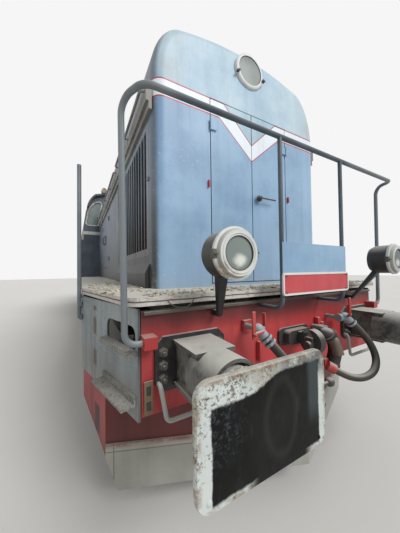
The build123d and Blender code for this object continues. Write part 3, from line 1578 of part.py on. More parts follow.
# Bogies: a welded frame with outside axleboxes, springs, final drives and brake gear
axle_height = rail_top + wheel_radius
bolster_top = sill_bottom - moving_gap - 60
for end, end_name in ((-1, "front"), (1, "rear")):
    pivot_y = end * pivot_spacing / 2
    axle_places = [pivot_y - bogie_wheelbase / 2, pivot_y + bogie_wheelbase / 2]
    with BuildPart() as bogie_frame:
        with BuildSketch(Plane.YZ.offset(-side_frame_x - side_frame_thickness)):
            with BuildLine():
                Polyline(
                    (pivot_y - bogie_half_length, side_frame_end_bottom),
                    (pivot_y - bogie_half_length, side_frame_top - 60),
                    (pivot_y - bogie_half_length + 200, side_frame_top),
                    (pivot_y + bogie_half_length - 200, side_frame_top),
                    (pivot_y + bogie_half_length, side_frame_top - 60),
                    (pivot_y + bogie_half_length, side_frame_end_bottom),
                    (pivot_y + bogie_wheelbase / 2 - 300, side_frame_end_bottom),
                    (pivot_y + bogie_wheelbase / 2 - 450, side_frame_middle_bottom),
                    (pivot_y - bogie_wheelbase / 2 + 450, side_frame_middle_bottom),
                    (pivot_y - bogie_wheelbase / 2 + 300, side_frame_end_bottom),
                    close=True,
                )
            make_face()
        extrude(amount=side_frame_thickness)
        mirror(about=Plane.YZ)
        for place in (-1, 1):
            for side in (-1, 1):
                seat = (side * spring_x, pivot_y + place * bogie_wheelbase / 2, axle_height + spring_height)
                with Locations(seat):
                    Box(spring_seat, axlebox_wing, wing_thickness, align=(Align.CENTER, Align.CENTER, Align.MIN))
            with Locations((0, pivot_y + place * (bogie_half_length - transom_width / 2), side_frame_end_bottom)):
                Box(2 * side_frame_x, transom_width, transom_height, align=(Align.CENTER, Align.CENTER, Align.MIN))
            sander_y = pivot_y + place * (bogie_half_length - 40 - sander_length / 2)
            for side in (-1, 1):
                sander_x = side * (side_frame_x + side_frame_thickness)
                with Locations((sander_x, sander_y, side_frame_end_bottom)):
                    Box(
                        sander_reach,
                        sander_length,
                        sander_height,
                        align=(Align.MIN if side > 0 else Align.MAX, Align.CENTER, Align.MIN),
                    )
                sander_mouth = sander_x + side * sander_reach / 2
                pipe_y = pivot_y + place * (bogie_wheelbase / 2 + wheel_radius + rail_top + 30)
                sand_route = [
                    (sander_mouth, pipe_y, side_frame_end_bottom + 10),
                    (sander_mouth, pipe_y, 420),
                    (side * 800, pipe_y, 130),
                ]
                add(pipe(sand_route, [60], sander_pipe_radius, 8))
        with Locations((0, pivot_y, bolster_bottom)):
            Box(2 * side_frame_x, bolster_length, bolster_top - bolster_bottom, align=(Align.CENTER, Align.CENTER, Align.MIN))
            Cylinder(pivot_radius + moving_gap, 1000, mode=Mode.SUBTRACT)
        for side in (-1, 1):
            with Locations((side * bearer_x, pivot_y, bolster_top)):
                Box(
                    bearer_width - 40,
                    bearer_length - 40,
                    sill_bottom - bolster_top - running_gap,
                    align=(Align.CENTER, Align.CENTER, Align.MIN),
                )
        for place, y in zip((-1, 1), axle_places):
            with Locations(Location((0, y, axle_height), (0, 90, 0))):
                Cylinder(final_drive_radius, final_drive_width)
                Cylinder(axle_radius + running_gap, 2 * final_drive_width, mode=Mode.SUBTRACT)
            for side, way in ((-1, -1), (-1, 1), (1, -1), (1, 1)):
                shoe_x = side * (back_to_back / 2 + wheel_width - shoe_width / 2 - 4)
                shoe_y = y + way * (wheel_radius + shoe_gap + shoe_depth / 2)
                hanger_y = y + way * (wheel_radius + shoe_gap + shoe_depth + hanger_thickness / 2 - 1)
                with Locations((shoe_x, shoe_y - way * 15, axle_height)):
                    Box(shoe_width, shoe_depth + 30, shoe_height)
                with Locations((shoe_x, hanger_y, axle_height)):
                    Box(
                        hanger_width,
                        hanger_thickness,
                        side_frame_top - axle_height - hanger_beam,
                        align=(Align.CENTER, Align.CENTER, Align.MIN),
                    )
                with Locations((side * side_frame_x, hanger_y, side_frame_top - hanger_beam)):
                    Box(
                        side_frame_x - abs(shoe_x) + hanger_width / 2,
                        hanger_thickness,
                        hanger_beam,
                        align=(Align.MAX if side > 0 else Align.MIN, Align.CENTER, Align.MAX),
                    )
                with Locations(Location((shoe_x, y, axle_height), (0, 90, 0))):
                    Cylinder(wheel_radius + shoe_gap, shoe_width + 4, mode=Mode.SUBTRACT)
            arm_start = y - place * (final_drive_radius - 20)
            arm_end = pivot_y + place * (bolster_length / 2 - 10)
            with Locations((0, (arm_start + arm_end) / 2, bolster_bottom + 60)):
                Box(120, abs(arm_start - arm_end), 90)
    write(bogie_frame.part, f"bogie_frame_{end_name}")

    with BuildPart() as axleboxes:
        for y in axle_places:
            for side in (-1, 1):
                with Locations((side * axlebox_x, y, axle_height)):
                    Box(axlebox_depth, axlebox_size, axlebox_size)
                with Locations(Location((side * (axlebox_x + axlebox_depth / 2 + box_cover_depth / 2), y, axle_height),
                                        (0, 90, 0))):
                    Cylinder(box_cover_radius, box_cover_depth)
                with Locations((side * spring_x, y, axle_height)):
                    Box(spring_seat, axlebox_wing, wing_thickness, align=(Align.CENTER, Align.CENTER, Align.MAX))
                for place in (-1, 1):
                    with Locations((side * spring_x, y + place * spring_spread / 2, axle_height)):
                        Cylinder(spring_radius, spring_height, align=(Align.CENTER, Align.CENTER, Align.MIN))
            with Locations(Location((0, y, axle_height), (0, 90, 0))):
                Cylinder(journal_radius + running_gap, axle_length + 2 * running_gap, mode=Mode.SUBTRACT)
        add(bogie_frame.part, mode=Mode.SUBTRACT)
    write(axleboxes.part, f"axleboxes_{end_name}")

    for number, y in enumerate(axle_places):
        write(wheelset(y), f"wheelset_{end_name}_{number + 1}")
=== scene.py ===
# %% [markdown]
# # A diesel locomotive, dressed
# The locomotive's solids come from a CAD model, and this lesson gives them their looks: the camera,
# the light, the paints with their dust and rust, and the small pieces that the solids leave out.
# Everything is in metres. Y runs along the locomotive, its long hood points towards -Y, and the
# wheel flanges stand on z = 0.

import math
import random

import bpy
from mathutils import Matrix, Vector


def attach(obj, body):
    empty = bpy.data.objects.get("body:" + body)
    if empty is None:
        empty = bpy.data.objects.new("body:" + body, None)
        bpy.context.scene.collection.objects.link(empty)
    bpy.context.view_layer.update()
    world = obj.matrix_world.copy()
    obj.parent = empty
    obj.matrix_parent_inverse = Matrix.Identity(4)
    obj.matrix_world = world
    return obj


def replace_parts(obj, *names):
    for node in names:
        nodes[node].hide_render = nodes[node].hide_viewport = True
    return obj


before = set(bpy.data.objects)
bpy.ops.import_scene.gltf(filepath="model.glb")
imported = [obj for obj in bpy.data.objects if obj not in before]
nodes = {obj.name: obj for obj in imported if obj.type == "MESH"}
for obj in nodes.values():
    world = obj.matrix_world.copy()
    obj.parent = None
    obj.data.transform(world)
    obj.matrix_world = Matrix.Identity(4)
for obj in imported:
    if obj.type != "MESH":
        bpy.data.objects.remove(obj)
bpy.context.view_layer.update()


def link(thing):
    """Puts an object into the scene."""
    bpy.context.scene.collection.objects.link(thing)
    return thing


# %% [markdown]
# ## The camera
# The photograph was taken with a very short lens from beside the left buffer, at the height of a
# raised hand. The lens and the three angles were worked out from known sizes: the buffers, the beam
# and the number plate. A camera looks along its own -Z, and its matrix is built from the three
# directions instead of from Euler angles.

# %% Set the camera
IMAGE_HEIGHT = 533
FOCAL_PIXELS = 217.164
SENSOR = 36.0
EYE = Vector((-1.434, -7.376, 1.585))
YAW, PITCH, ROLL = math.radians(28.625), math.radians(1.141), math.radians(-0.711)


def aim(yaw, pitch, roll):
    ahead = Vector((math.sin(yaw) * math.cos(pitch), math.cos(yaw) * math.cos(pitch), math.sin(pitch)))
    level = Vector((math.cos(yaw), -math.sin(yaw), 0.0))
    above = level.cross(ahead)
    right = level * math.cos(roll) + above * math.sin(roll)
    up = above * math.cos(roll) - level * math.sin(roll)
    return Matrix((right, up, -ahead)).transposed()


lens = bpy.data.cameras.new("camera")
lens.sensor_width = SENSOR
lens.lens = FOCAL_PIXELS / IMAGE_HEIGHT * SENSOR
lens.clip_start = 0.05
lens.clip_end = 200.0
camera = link(bpy.data.objects.new("camera", lens))
camera.matrix_world = Matrix.Translation(EYE) @ aim(YAW, PITCH, ROLL).to_4x4()
bpy.context.scene.camera = camera
print("lens:", round(lens.lens, 2), "mm")

# %% [markdown]
# ## The two brake hoses
# A hose hangs from each cock on the front beam and swings back under it. The points carry the
# radius, and the bevel's depth of 1 only multiplies it, so that the curve's box stays as small as
# the hose. The bars of the small parts come from the same function later.

# %% Lay the hoses
HOSE_DIAMETER = 0.052
HOSES = {
    # name: (length, points from the cock to the coupling head)
    "brake_hose_right": (0.76, [
        (0.555, -6.365, 1.143), (0.620, -6.415, 1.063), (0.645, -6.475, 0.963), (0.620, -6.520, 0.863),
        (0.545, -6.530, 0.783), (0.440, -6.495, 0.748), (0.345, -6.435, 0.763), (0.275, -6.385, 0.813)]),
    "brake_hose_left": (0.89, [
        (-0.455, -6.395, 1.178), (-0.405, -6.440, 1.103), (-0.335, -6.480, 1.008),
        (-0.278, -6.510, 0.895), (-0.290, -6.525, 0.788), (-0.350, -6.512, 0.695),
        (-0.447, -6.470, 0.652), (-0.548, -6.419, 0.679), (-0.612, -6.374, 0.768)]),
}


def round_curve(name, points, radius, sides, steps=12, caps=True):
    """An object with a round curve that bends smoothly between its points."""
    line = bpy.data.curves.new(name, "CURVE")
    line.dimensions = "3D"
    line.bevel_depth = 1.0
    line.bevel_resolution = sides
    line.resolution_u = steps
    line.use_fill_caps = caps
    spline = line.splines.new("NURBS")
    spline.points.add(len(points) - 1)
    for control, place in zip(spline.points, points):
        control.co = (*place, 1.0)
        control.radius = radius
    spline.order_u = min(3, len(points))
    spline.use_endpoint_u = True
    return link(bpy.data.objects.new(name, line))


hoses = []
for node, (length, points) in HOSES.items():
    hose = round_curve(node + "_run", points, HOSE_DIAMETER / 2, 5, 14, False)
    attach(hose, "locomotive")
    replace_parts(hose, node)
    hoses.append(hose)
print("hoses:", len(hoses))

# %% [markdown]
# ## Light and floor
# Paint renders about as it is written when a soft sky gives a little over half of the light and one
# broad lamp the rest. The world is white for the camera and for mirrors, and dimmer for everything
# else, which the Light Path node tells apart. The floor only catches the shadow.

# %% Light the scene
bpy.context.scene.view_settings.view_transform = "Standard"
SKY_STRENGTH, BACKDROP_STRENGTH = 0.62, 0.92
KEY_POWER, KEY_SOFTNESS, KEY_DIRECTION = 2.0, 25.0, (-0.30, 0.80, -0.70)
FLOOR_HALF = 60.0


def light_world():
    world = bpy.data.worlds.new("studio")
    world.use_nodes = True
    tree = world.node_tree
    background = tree.nodes["Background"]
    path = tree.nodes.new("ShaderNodeLightPath")
    seen = path.outputs["Is Camera Ray"]
    for other in ("Is Glossy Ray", "Is Transmission Ray"):
        either = tree.nodes.new("ShaderNodeMath")
        either.operation = "MAXIMUM"
        tree.links.new(seen, either.inputs[0])
        tree.links.new(path.outputs[other], either.inputs[1])
        seen = either.outputs[0]
    strength = tree.nodes.new("ShaderNodeMapRange")
    tree.links.new(seen, strength.inputs["Value"])
    strength.inputs["To Min"].default_value = SKY_STRENGTH
    strength.inputs["To Max"].default_value = BACKDROP_STRENGTH
    tree.links.new(strength.outputs["Result"], background.inputs["Strength"])
    background.inputs["Color"].default_value = (1.0, 1.0, 1.0, 1.0)
    bpy.context.scene.world = world


light_world()
sun = bpy.data.lights.new("key_light", "SUN")
sun.energy = KEY_POWER
sun.angle = math.radians(KEY_SOFTNESS)
key = link(bpy.data.objects.new("key_light", sun))
key.matrix_world = Vector(KEY_DIRECTION).to_track_quat("-Z", "Y").to_matrix().to_4x4()
bpy.ops.object.select_all(action="DESELECT")
bpy.ops.mesh.primitive_plane_add(size=2 * FLOOR_HALF, location=(0, 0, 0))
floor = bpy.context.object
floor.name = "floor"
print("floor:", 2 * FLOOR_HALF, "m square")

# %% [markdown]
# ## Writing shaders as sums
# A paint is a tree of nodes, and most of it is arithmetic: how much dust lies here, how far this
# point is from an edge. Joining dozens of Math nodes by hand is hard to read, so a small class wraps
# one socket, and a sum on it adds the nodes. Every other node comes from the one method `node`,
# which takes its type, its settings and what feeds its sockets.

# %% Wrap sockets and materials


class Wire:
    """One output socket: sums on it add Math nodes."""

    def __init__(self, finish, socket):
        self.finish = finish
        self.socket = socket

    def math(self, operation, *others):
        return self.finish.node("Math", {"operation": operation}, dict(enumerate((self, *others))))

    def __add__(self, other):
        return self.math("ADD", other)

    def __sub__(self, other):
        return self.math("SUBTRACT", other)

    def __rsub__(self, other):
        return self.finish.node("Math", {"operation": "SUBTRACT"}, {0: other, 1: self})

    def __mul__(self, other):
        return self.math("MULTIPLY", other)

    __radd__ = __add__
    __rmul__ = __mul__

    def __abs__(self):
        return self.math("ABSOLUTE")

    def least(self, other):
        return self.math("MINIMUM", other)

    def most(self, other):
        return self.math("MAXIMUM", other)

    def rise(self, low, high):
        """0 below low, 1 above high and smooth between them; the other way round if low > high."""
        ends = (self, low, high, 0.0, 1.0) if low < high else (self, high, low, 1.0, 0.0)
        return self.finish.node("MapRange", {"interpolation_type": "SMOOTHSTEP"},
                                dict(enumerate(ends)))

    def between(self, low, high, soft):
        return self.rise(low - soft, low + soft) * self.rise(high + soft, high - soft)

    def blend(self, below, above):
        """A colour: below where this wire is 0, above where it is 1."""
        return self.finish.node("Mix", {"data_type": "RGBA"}, {0: self, 6: below, 7: above}, 2)


def srgb(red, green, blue):
    """A colour as it is read off a screen, 0 to 255, as the linear one that a shader wants."""
    def linear(value):
        value = value / 255.0
        return value / 12.92 if value <= 0.04045 else ((value + 0.055) / 1.055) ** 2.4
    return (linear(red), linear(green), linear(blue), 1.0)


class Finish:
    """A material, with its Principled shader and the coordinates that patterns read."""

    def __init__(self, name, rough):
        self.material = bpy.data.materials.new(name)
        self.material.use_nodes = True
        self.tree = self.material.node_tree
        self.shader = self.tree.nodes["Principled BSDF"]
        self.shader.inputs["Roughness"].default_value = rough
        self.place = self.node("TexCoord", out="Object")
        self.x, self.y, self.z = self.split(self.place)
        self.side, self.ahead, self.up = self.split(self.node("TexCoord", out="Normal"))

    def node(self, kind, settings=(), sockets=(), out=0):
        made = self.tree.nodes.new("ShaderNode" + kind)
        for name, value in dict(settings).items():
            setattr(made, name, value)
        for name, value in dict(sockets).items():
            self.feed(made.inputs[name], value)
        return Wire(self, made.outputs[out])

    def feed(self, socket, value):
        if isinstance(value, Wire):
            self.tree.links.new(value.socket, socket)
        else:
            socket.default_value = value

    def split(self, vector):
        parts = self.node("SeparateXYZ", sockets={0: vector})
        return [Wire(self, output) for output in parts.socket.node.outputs]

    def noise(self, scale, detail=4.0, rough=0.6, vector=None):
        return self.node("TexNoise", sockets={
            "Vector": vector or self.place, "Scale": scale, "Detail": detail, "Roughness": rough})

    def streaks(self, scale, detail=5.0):
        """Noise pulled out along an axis whose scale is small."""
        return self.noise(1.0, detail, 0.7, self.node("Mapping", sockets={
            "Vector": self.place, "Scale": scale}))

    def set(self, name, value):
        self.feed(self.shader.inputs[name], value)

    def bump(self, height, strength=0.3, distance=0.01):
        self.set("Normal", self.node("Bump", sockets={
            "Height": height, "Strength": strength, "Distance": distance}))


print("helpers ready")

# %% [markdown]
# ## Paint under dust
# The locomotive has stood for years in a shed. Its paints are all the same idea: a flat colour that
# fades in clouds, streaks that run down, chips that show rust, and a pale dust that lies on
# everything that faces up. `coat` makes the colour, `lay` paints over it, a stripe for instance, and
# `worn` ages the result and keeps it under its name.

# %% Mix the paints
DUST = srgb(196, 194, 185)
RUST = srgb(92, 58, 42)
GRIME = srgb(38, 36, 36)


def lay(paint, mask, *colour):
    """The paint with a colour over it where the mask is 1."""
    return mask.blend(paint, srgb(*colour))


def coat(finish, colour, faded, clouds=(1.7, 5.0, 0.65), low=0.36, high=0.68):
    """The flat paint: colour where it is fresh, faded in soft clouds."""
    return finish.noise(*clouds).rise(low, high).blend(srgb(*colour), srgb(*faded))


FINISHES = {}


def worn(name, colours, rough, dust, chips, streaks):
    """A new finish, kept in FINISHES: `colours` gives its paint, and the years lie on it."""
    finish = FINISHES[name] = Finish(name, rough)
    paint = colours(finish)
    drips = finish.streaks((9.0, 9.0, 0.55)).rise(0.42, 0.75)
    paint = (drips * finish.up.rise(0.7, 0.3) * streaks).blend(paint, GRIME)
    blotch = finish.noise(3.4, 6.0, 0.7).rise(0.50, 0.78)
    paint = (blotch * streaks * 0.5).blend(paint, RUST)
    fine = finish.noise(38.0, 3.0, 0.6)
    edge = 0.80 - 0.10 * chips
    chip = (finish.noise(11.0, 6.0, 0.72) + fine * 0.15).rise(edge, edge + 0.03)
    paint = (chip * min(1.0, chips * 2)).blend(paint, RUST)
    patches = (0.55 + finish.noise(6.0, 5.0, 0.7) * 0.8).least(1.0)
    lying = finish.up.rise(0.35, 0.95) * patches * dust
    paint = lying.blend(paint, DUST)
    finish.set("Base Color", paint)
    finish.set("Roughness", (rough + lying * (0.9 - rough)) + drips * 0.06)
    finish.bump(fine * 0.12 + chip * -0.4 + lying * 0.3, 0.25, 0.004)


PAINTS = [
    # slot, colour, faded colour, roughness, dust, chips, streaks
    ("cab_blue", (50, 60, 76), (78, 90, 108), 0.50, 0.6, 0.25, 0.40),
    ("red_paint", (160, 48, 46), (184, 74, 68), 0.50, 0.8, 0.35, 0.40),
    ("tread_steel", (72, 70, 66), (104, 102, 94), 0.75, 0.45, 0.60, 0.30),
    ("cast_housing", (44, 44, 43), (96, 95, 91), 0.50, 1.00, 0.40, 0.50),
    ("dark_steel", (44, 43, 43), (72, 69, 66), 0.60, 0.75, 0.40, 0.22),
    ("rail_slate", (92, 99, 106), (118, 124, 130), 0.45, 0.5, 0.30, 0.20),
    ("hose_rubber", (34, 32, 31), (70, 62, 54), 0.62, 0.75, 0.10, 0.20),
    ("inside_grey", (122, 126, 124), (142, 144, 140), 0.60, 0.5, 0.20, 0.20),
    ("gutter_taupe", (118, 116, 112), (150, 148, 142), 0.55, 0.6, 0.40, 0.50),
]
for slot, colour, faded, rough, dust, chips, streaks in PAINTS:
    worn(slot, lambda made: coat(made, colour, faded), rough, dust, chips, streaks)
print("paints:", len(FINISHES))

# %% [markdown]
# ## The hoods: two blues, and a white stripe that dips to a V
# The nose is pale blue, paler still above the stripe, and painted paler low down and towards +X as
# painted light. The flanks are a darker blue-grey, painted darker still as painted shade, and darker
# towards the bottom. The stripe is white with a thin red line along each edge. Both of its edges are
# written as heights that depend on the distance from the middle, and the lower of two heights makes
# the V.

# %% Paint the hoods
STRIPE_LOW, STRIPE_HIGH = 2.938, 3.066
V_TIP_LOW, V_TIP_HIGH = 2.628, 2.772
V_SLOPE_LOW, V_SLOPE_HIGH = 0.84, 0.92
RED_LINE = 0.013
HOOD_SEAMS = (-3.93, -3.20, -1.05, -0.36, 2.80, 4.90, 5.60)


def hood_coat(finish):
    flank = abs(finish.side).rise(0.45, 0.85)
    nose = coat(finish, (116, 148, 180), (142, 174, 202))
    # Painted light: the nose is painted paler low down, to lift the shade near the deck and rail, and paler
    # towards +X as a painted highlight.
    pale = finish.z.rise(2.2, 1.5) * 0.45 + finish.x.rise(0.35, 0.9) * 0.45
    nose = lay(nose, pale, 160, 188, 212)
    brow = coat(finish, (150, 178, 198), (176, 198, 210), (2.3, 5.0, 0.7), 0.3, 0.7)
    stain = finish.noise(3.0, 6.0, 0.7).rise(0.35, 0.65) * abs(finish.x).rise(0.62, 0.95)
    brow = lay(brow, stain * 0.55, 164, 160, 138)
    reach = abs(finish.x)
    low = (reach * V_SLOPE_LOW + V_TIP_LOW).least(STRIPE_LOW)
    high = (reach * V_SLOPE_HIGH + V_TIP_HIGH).least(STRIPE_HIGH)
    nose = (finish.z - high).rise(-0.002, 0.002).blend(nose, brow)
    # The flanks: a darker blue-grey, painted darker still as painted shade, and darker towards the bottom.
    flank_paint_and_shade = coat(finish, (90, 102, 118), (116, 128, 142))
    flank_paint_and_shade = lay(flank_paint_and_shade, finish.z.rise(2.5, 1.6), 56, 58, 60)
    paint = flank.blend(nose, flank_paint_and_shade)
    tall = finish.z.between(1.70, 2.79, 0.004)
    for seam in HOOD_SEAMS:
        line = finish.y.between(seam - 0.004, seam + 0.004, 0.002) * tall * flank
        paint = lay(paint, line * 0.8, 24, 26, 30)
    ledge = abs(finish.x).rise(0.9605, 0.9615) * finish.z.rise(1.72, 1.66)
    paint = lay(paint, ledge, 28, 28, 27)
    shadow = flank * finish.z.rise(1.80, 1.70) * finish.y.between(-5.66, -4.0, 0.02)
    paint = lay(paint, shadow * 0.8, 36, 36, 36)
    front = abs(finish.y).rise(5.700, 5.715)
    fleck = (finish.noise(48.0, 3.0, 0.7) + finish.noise(3.0) * 0.3).rise(0.80, 0.84) * front
    paint = lay(paint, fleck * 0.3, 206, 216, 224)
    foot = finish.z.rise(1.62, 1.45) * finish.noise(12.0, 6.0, 0.75).rise(0.34, 0.62) * front
    paint = lay(paint, foot * 0.45, 150, 156, 158)
    above, below = finish.z - low + (finish.noise(60.0, 3.0) - 0.5) * 0.002, high - finish.z
    band = above.rise(-RED_LINE, -RED_LINE + 0.002) * below.rise(-RED_LINE, -RED_LINE + 0.002)
    white = above.rise(0.0, 0.002) * below.rise(0.0, 0.002)
    paint = lay(paint, band * front * 0.9, 172, 62, 66)
    return lay(paint, white * front, 222, 230, 238)


worn("body_blue", hood_coat, 0.45, 0.5, 0.18, 0.13)
print("stripe:", STRIPE_LOW, "to", STRIPE_HIGH)

# %% [markdown]
# ## The buffer heads
# A buffer's face is white, with a black rectangle that years of grease have spread upwards. The
# patch is written in the head's own coordinates, counted from the middle of whichever buffer the
# point is on, with noise added so that no edge is straight. The rim rusts, the white is freckled,
# and a faint ring shows where the other buffer rubbed.

# %% Grease the buffers
BUFFER_X, BUFFER_Z = 0.875, 1.088
HEAD_HALF_WIDTH, HEAD_HALF_HEIGHT, HEAD_BACK = 0.287, 0.183, -6.822


def buffer_coat(finish):
    across = finish.x - finish.x.math("SIGN") * BUFFER_X
    up = finish.z - BUFFER_Z
    wobble = (finish.noise(9.0, 5.0, 0.7) - 0.5) * 0.05
    across, up = across + wobble * 0.5, up + (finish.noise(13.0, 5.0, 0.7) - 0.5) * 0.03
    top = across.rise(-0.12, 0.05) * 0.045 + 0.112
    grease = across.rise(-0.242, -0.236) * across.rise(0.250, 0.242) * (top - up).rise(0.0, 0.012)
    grease = grease * up.rise(-0.172, -0.158)
    spill = across.between(-0.09, 0.19, 0.03) * up.rise(-0.10, -0.13)
    grease = grease.most(spill) * abs(finish.ahead).rise(0.3, 0.6) * abs(finish.y).rise(6.80, 6.81)
    face = coat(finish, (190, 198, 194), (208, 214, 212))
    haze = finish.noise(5.0, 6.0, 0.75).rise(0.44, 0.66) * up.rise(-0.02, 0.13)
    face = lay(face, haze * 0.75, 150, 142, 126)
    smoke = across.rise(-0.04, 0.10) * up.rise(0.06, 0.14) * finish.noise(16.0, 6.0, 0.8).rise(0.30, 0.54)
    face = lay(face, smoke * 0.85, 72, 68, 62)
    rim = (HEAD_HALF_WIDTH - abs(across)).least(HEAD_HALF_HEIGHT - abs(up))
    rust = rim.rise(0.020, 0.004) * finish.noise(22.0, 5.0, 0.75).rise(0.40, 0.58)
    face = lay(face, rust * 0.7, 134, 104, 78)
    freckle = (finish.noise(90.0, 5.0, 0.8) + finish.noise(6.0, 3.0) * 0.55).rise(0.83, 0.90)
    face = lay(face, freckle * 0.8, 86, 72, 60)
    rub = ((across * across + up * up * 1.6).math("SQRT") + wobble).rise(0.15, 0.05)
    black = (rub * 0.4).blend(srgb(8, 9, 9), srgb(32, 33, 32))
    worn = finish.noise(60.0, 5.0, 0.8).rise(0.50, 0.62) * across.rise(-0.08, -0.20)
    old = across.rise(0.17, 0.20).most(worn) * up.rise(-0.10, 0.0)
    cloud = finish.noise(6.0, 6.0, 0.75).rise(0.45, 0.70)
    black = lay(black, cloud * 0.3, 40, 42, 42)
    black = lay(black, old * 0.6, 72, 80, 84)
    ring = ((across - 0.04) * (across - 0.04) * 2.2 + up * up * 0.8).math("SQRT") + wobble
    black = lay(black, ring.between(0.096, 0.122, 0.020) * 0.3, 58, 62, 60)
    scratch = finish.streaks((40.0, 1.0, 6.0), 4.0).rise(0.55, 0.8)
    black = lay(black, scratch * 0.12, 110, 110, 104)
    finish.set("Specular IOR Level", 0.15)
    return grease.blend(face, black)


worn("buffer_white", buffer_coat, 0.5, 0.5, 0.12, 0.10)
print("greased heads:", 4)

# %% [markdown]
# ## Lamps, plates and signs
# A lamp is one solid here, with a drum, a flange and a bezel. Only the rings are off-white, and the
# distance from the lamp's axis and the depth behind its face tell the rings from the drum. The
# number plate is red inside a white border, and the panel above it is pale blue.

# %% Paint the lamps and signs
LAMP_X, LAMP_Z, LAMP_FACE = 0.81, 1.663, 6.61
TOP_LAMP_Z = 3.508
PLATE_HALF, PLATE_LOW, PLATE_HIGH = 0.358, 1.425, 1.564


def lamp_coat(finish):
    across = abs(finish.x) - LAMP_X
    rise = finish.z - LAMP_Z
    reach = (across * across + rise * rise).math("SQRT")
    depth = LAMP_FACE - abs(finish.y)
    drum = coat(finish, (36, 35, 35), (58, 56, 54))
    # The drum is painted darker underneath: painted shade.
    drum = lay(drum, rise.rise(-0.02, -0.12), 30, 30, 34)
    ring = depth.rise(0.046, 0.042) * reach.rise(0.078, 0.082)
    dirt = finish.noise(24.0, 5.0, 0.8).rise(0.58, 0.66) * 0.6
    # Painted shade on the cone between the flange and the bezel, with dirt spots.
    painted_shade_and_dirt = reach.between(0.1055, 0.1135, 0.002).most(dirt)
    pale = coat(finish, (188, 192, 190), (208, 210, 206))
    pale = lay(pale, painted_shade_and_dirt * 0.6, 116, 106, 90)
    stain = finish.noise(30.0, 5.0, 0.8).rise(0.40, 0.56)
    stain = across.rise(-0.02, 0.09) * rise.rise(0.0, -0.09) * stain
    pale = lay(pale, stain * 0.8, 118, 88, 58)
    low_lamp = ring.blend(drum, pale)
    over = finish.z - TOP_LAMP_Z
    far = (finish.x * finish.x + over * over).math("SQRT")
    top_lamp = coat(finish, (200, 204, 202), (218, 220, 216))
    top_lamp = lay(top_lamp, far.between(0.124, 0.137, 0.003) * 0.9, 40, 42, 44)
    return finish.z.rise(2.8, 3.0).blend(low_lamp, top_lamp)


def sign_coat(finish):
    inside = (PLATE_HALF - abs(finish.x)).least((finish.z - PLATE_LOW).least(PLATE_HIGH - finish.z))
    red = coat(finish, (176, 52, 60), (192, 76, 80))
    plate = lay(red, inside.rise(0.013, 0.011), 214, 210, 206)
    panel = coat(finish, (122, 154, 184), (146, 178, 204))
    return finish.z.rise(PLATE_HIGH + 0.001, PLATE_HIGH + 0.003).blend(plate, panel)


worn("lamp_taupe", lamp_coat, 0.45, 0.55, 0.15, 0.15)
worn("plate_red", sign_coat, 0.38, 0.3, 0.10, 0.10)
print("lamps painted")

# %% [markdown]
# ## Finishes that belong to one part
# Some solids share a slot but not a look: the buffer housings are rubbed bright in places, the deck
# is deep in dust and litter, the corner plates are streaked with rust, the aprons are a darker red,
# and the shutters are sooty. `ONLY` names the finish of such a node. Any other takes its slot's.

# %% Paint single parts
PLATE_LEAN = (-0.2676, 0.9635)


def housing_coat(finish):
    base = coat(finish, (40, 40, 40), (112, 112, 108), (7.0, 6.0, 0.75), 0.36, 0.62)
    rubbed = finish.streaks((6.0, 34.0, 34.0)).rise(0.48, 0.62)
    base = lay(base, rubbed * 0.35, 132, 132, 126)
    plate = abs(finish.y).rise(6.272, 6.262) * finish.up.rise(0.6, 0.4)
    return lay(base, plate * 0.85, 26, 26, 28)


def corner_coat(finish):
    along = (abs(finish.x) - 1.18) * -PLATE_LEAN[0] + (6.23 - abs(finish.y)) * PLATE_LEAN[1]
    paint = coat(finish, (124, 134, 138), (154, 164, 166))
    # The faces that look ahead are painted darker than the sides: painted shade.
    paint = lay(paint, abs(finish.ahead).rise(0.5, 0.8), 84, 92, 94)
    spots = (finish.noise(52.0, 4.0, 0.7) + finish.noise(4.0) * 0.4).rise(0.74, 0.82)
    paint = lay(paint, spots * 0.3, 84, 78, 72)
    paint = lay(paint, finish.z.rise(1.15, 0.9) * 0.35, 120, 112, 100)
    wander = along + (finish.noise(14.0, 5.0) - 0.5) * 0.01
    seam = wander.between(0.628, 0.636, 0.003)
    paint = lay(paint, seam * 0.9, 60, 46, 38)
    heights = finish.z.between(1.14, 1.26, 0.015).most(finish.z.between(0.92, 1.03, 0.015))
    marks = wander.between(0.600, 0.662, 0.010) * heights.most(finish.z.between(1.31, 1.34, 0.01))
    paint = lay(paint, marks * 0.85, 84, 60, 40)
    runs = finish.streaks((22.0, 22.0, 0.8)).rise(0.55, 0.72)
    runs = runs * finish.z.rise(1.20, 1.10)
    return lay(paint, runs * 0.55, 112, 78, 56)


def deck_coat(finish):
    base = coat(finish, (150, 148, 142), (184, 182, 174))
    bits = finish.noise(70.0, 4.0, 0.8).rise(0.56, 0.64)
    base = lay(base, bits * 0.75, 86, 76, 64)
    edge = abs(finish.up).rise(0.6, 0.3)
    base = lay(base, edge * 0.8, 204, 198, 190)
    rim = (finish.z + (finish.noise(12.0, 5.0, 0.7) - 0.5) * 0.012).between(1.427, 1.434, 0.002) * edge
    base = lay(base, rim * 0.9, 34, 32, 30)
    rough = finish.noise(26.0, 5.0, 0.8).rise(0.52, 0.62) * edge
    return lay(base, rough * 0.5, 110, 98, 84)


def red_coat(finish):
    base = coat(finish, (180, 54, 56), (206, 82, 82))
    # Painted shade under the deck's edge, darkest at the top, and darker towards the ends: painted shade
    # and dirt.
    painted_shade_and_dirt = finish.z.rise(1.17, 1.35).most((abs(finish.x).rise(0.9, 1.15)) * 0.35)
    base = lay(base, painted_shade_and_dirt * 0.85, 52, 20, 22)
    scuff = finish.noise(5.0, 6.0, 0.75).rise(0.62, 0.74)
    return lay(base, scuff * 0.35, 196, 120, 112)


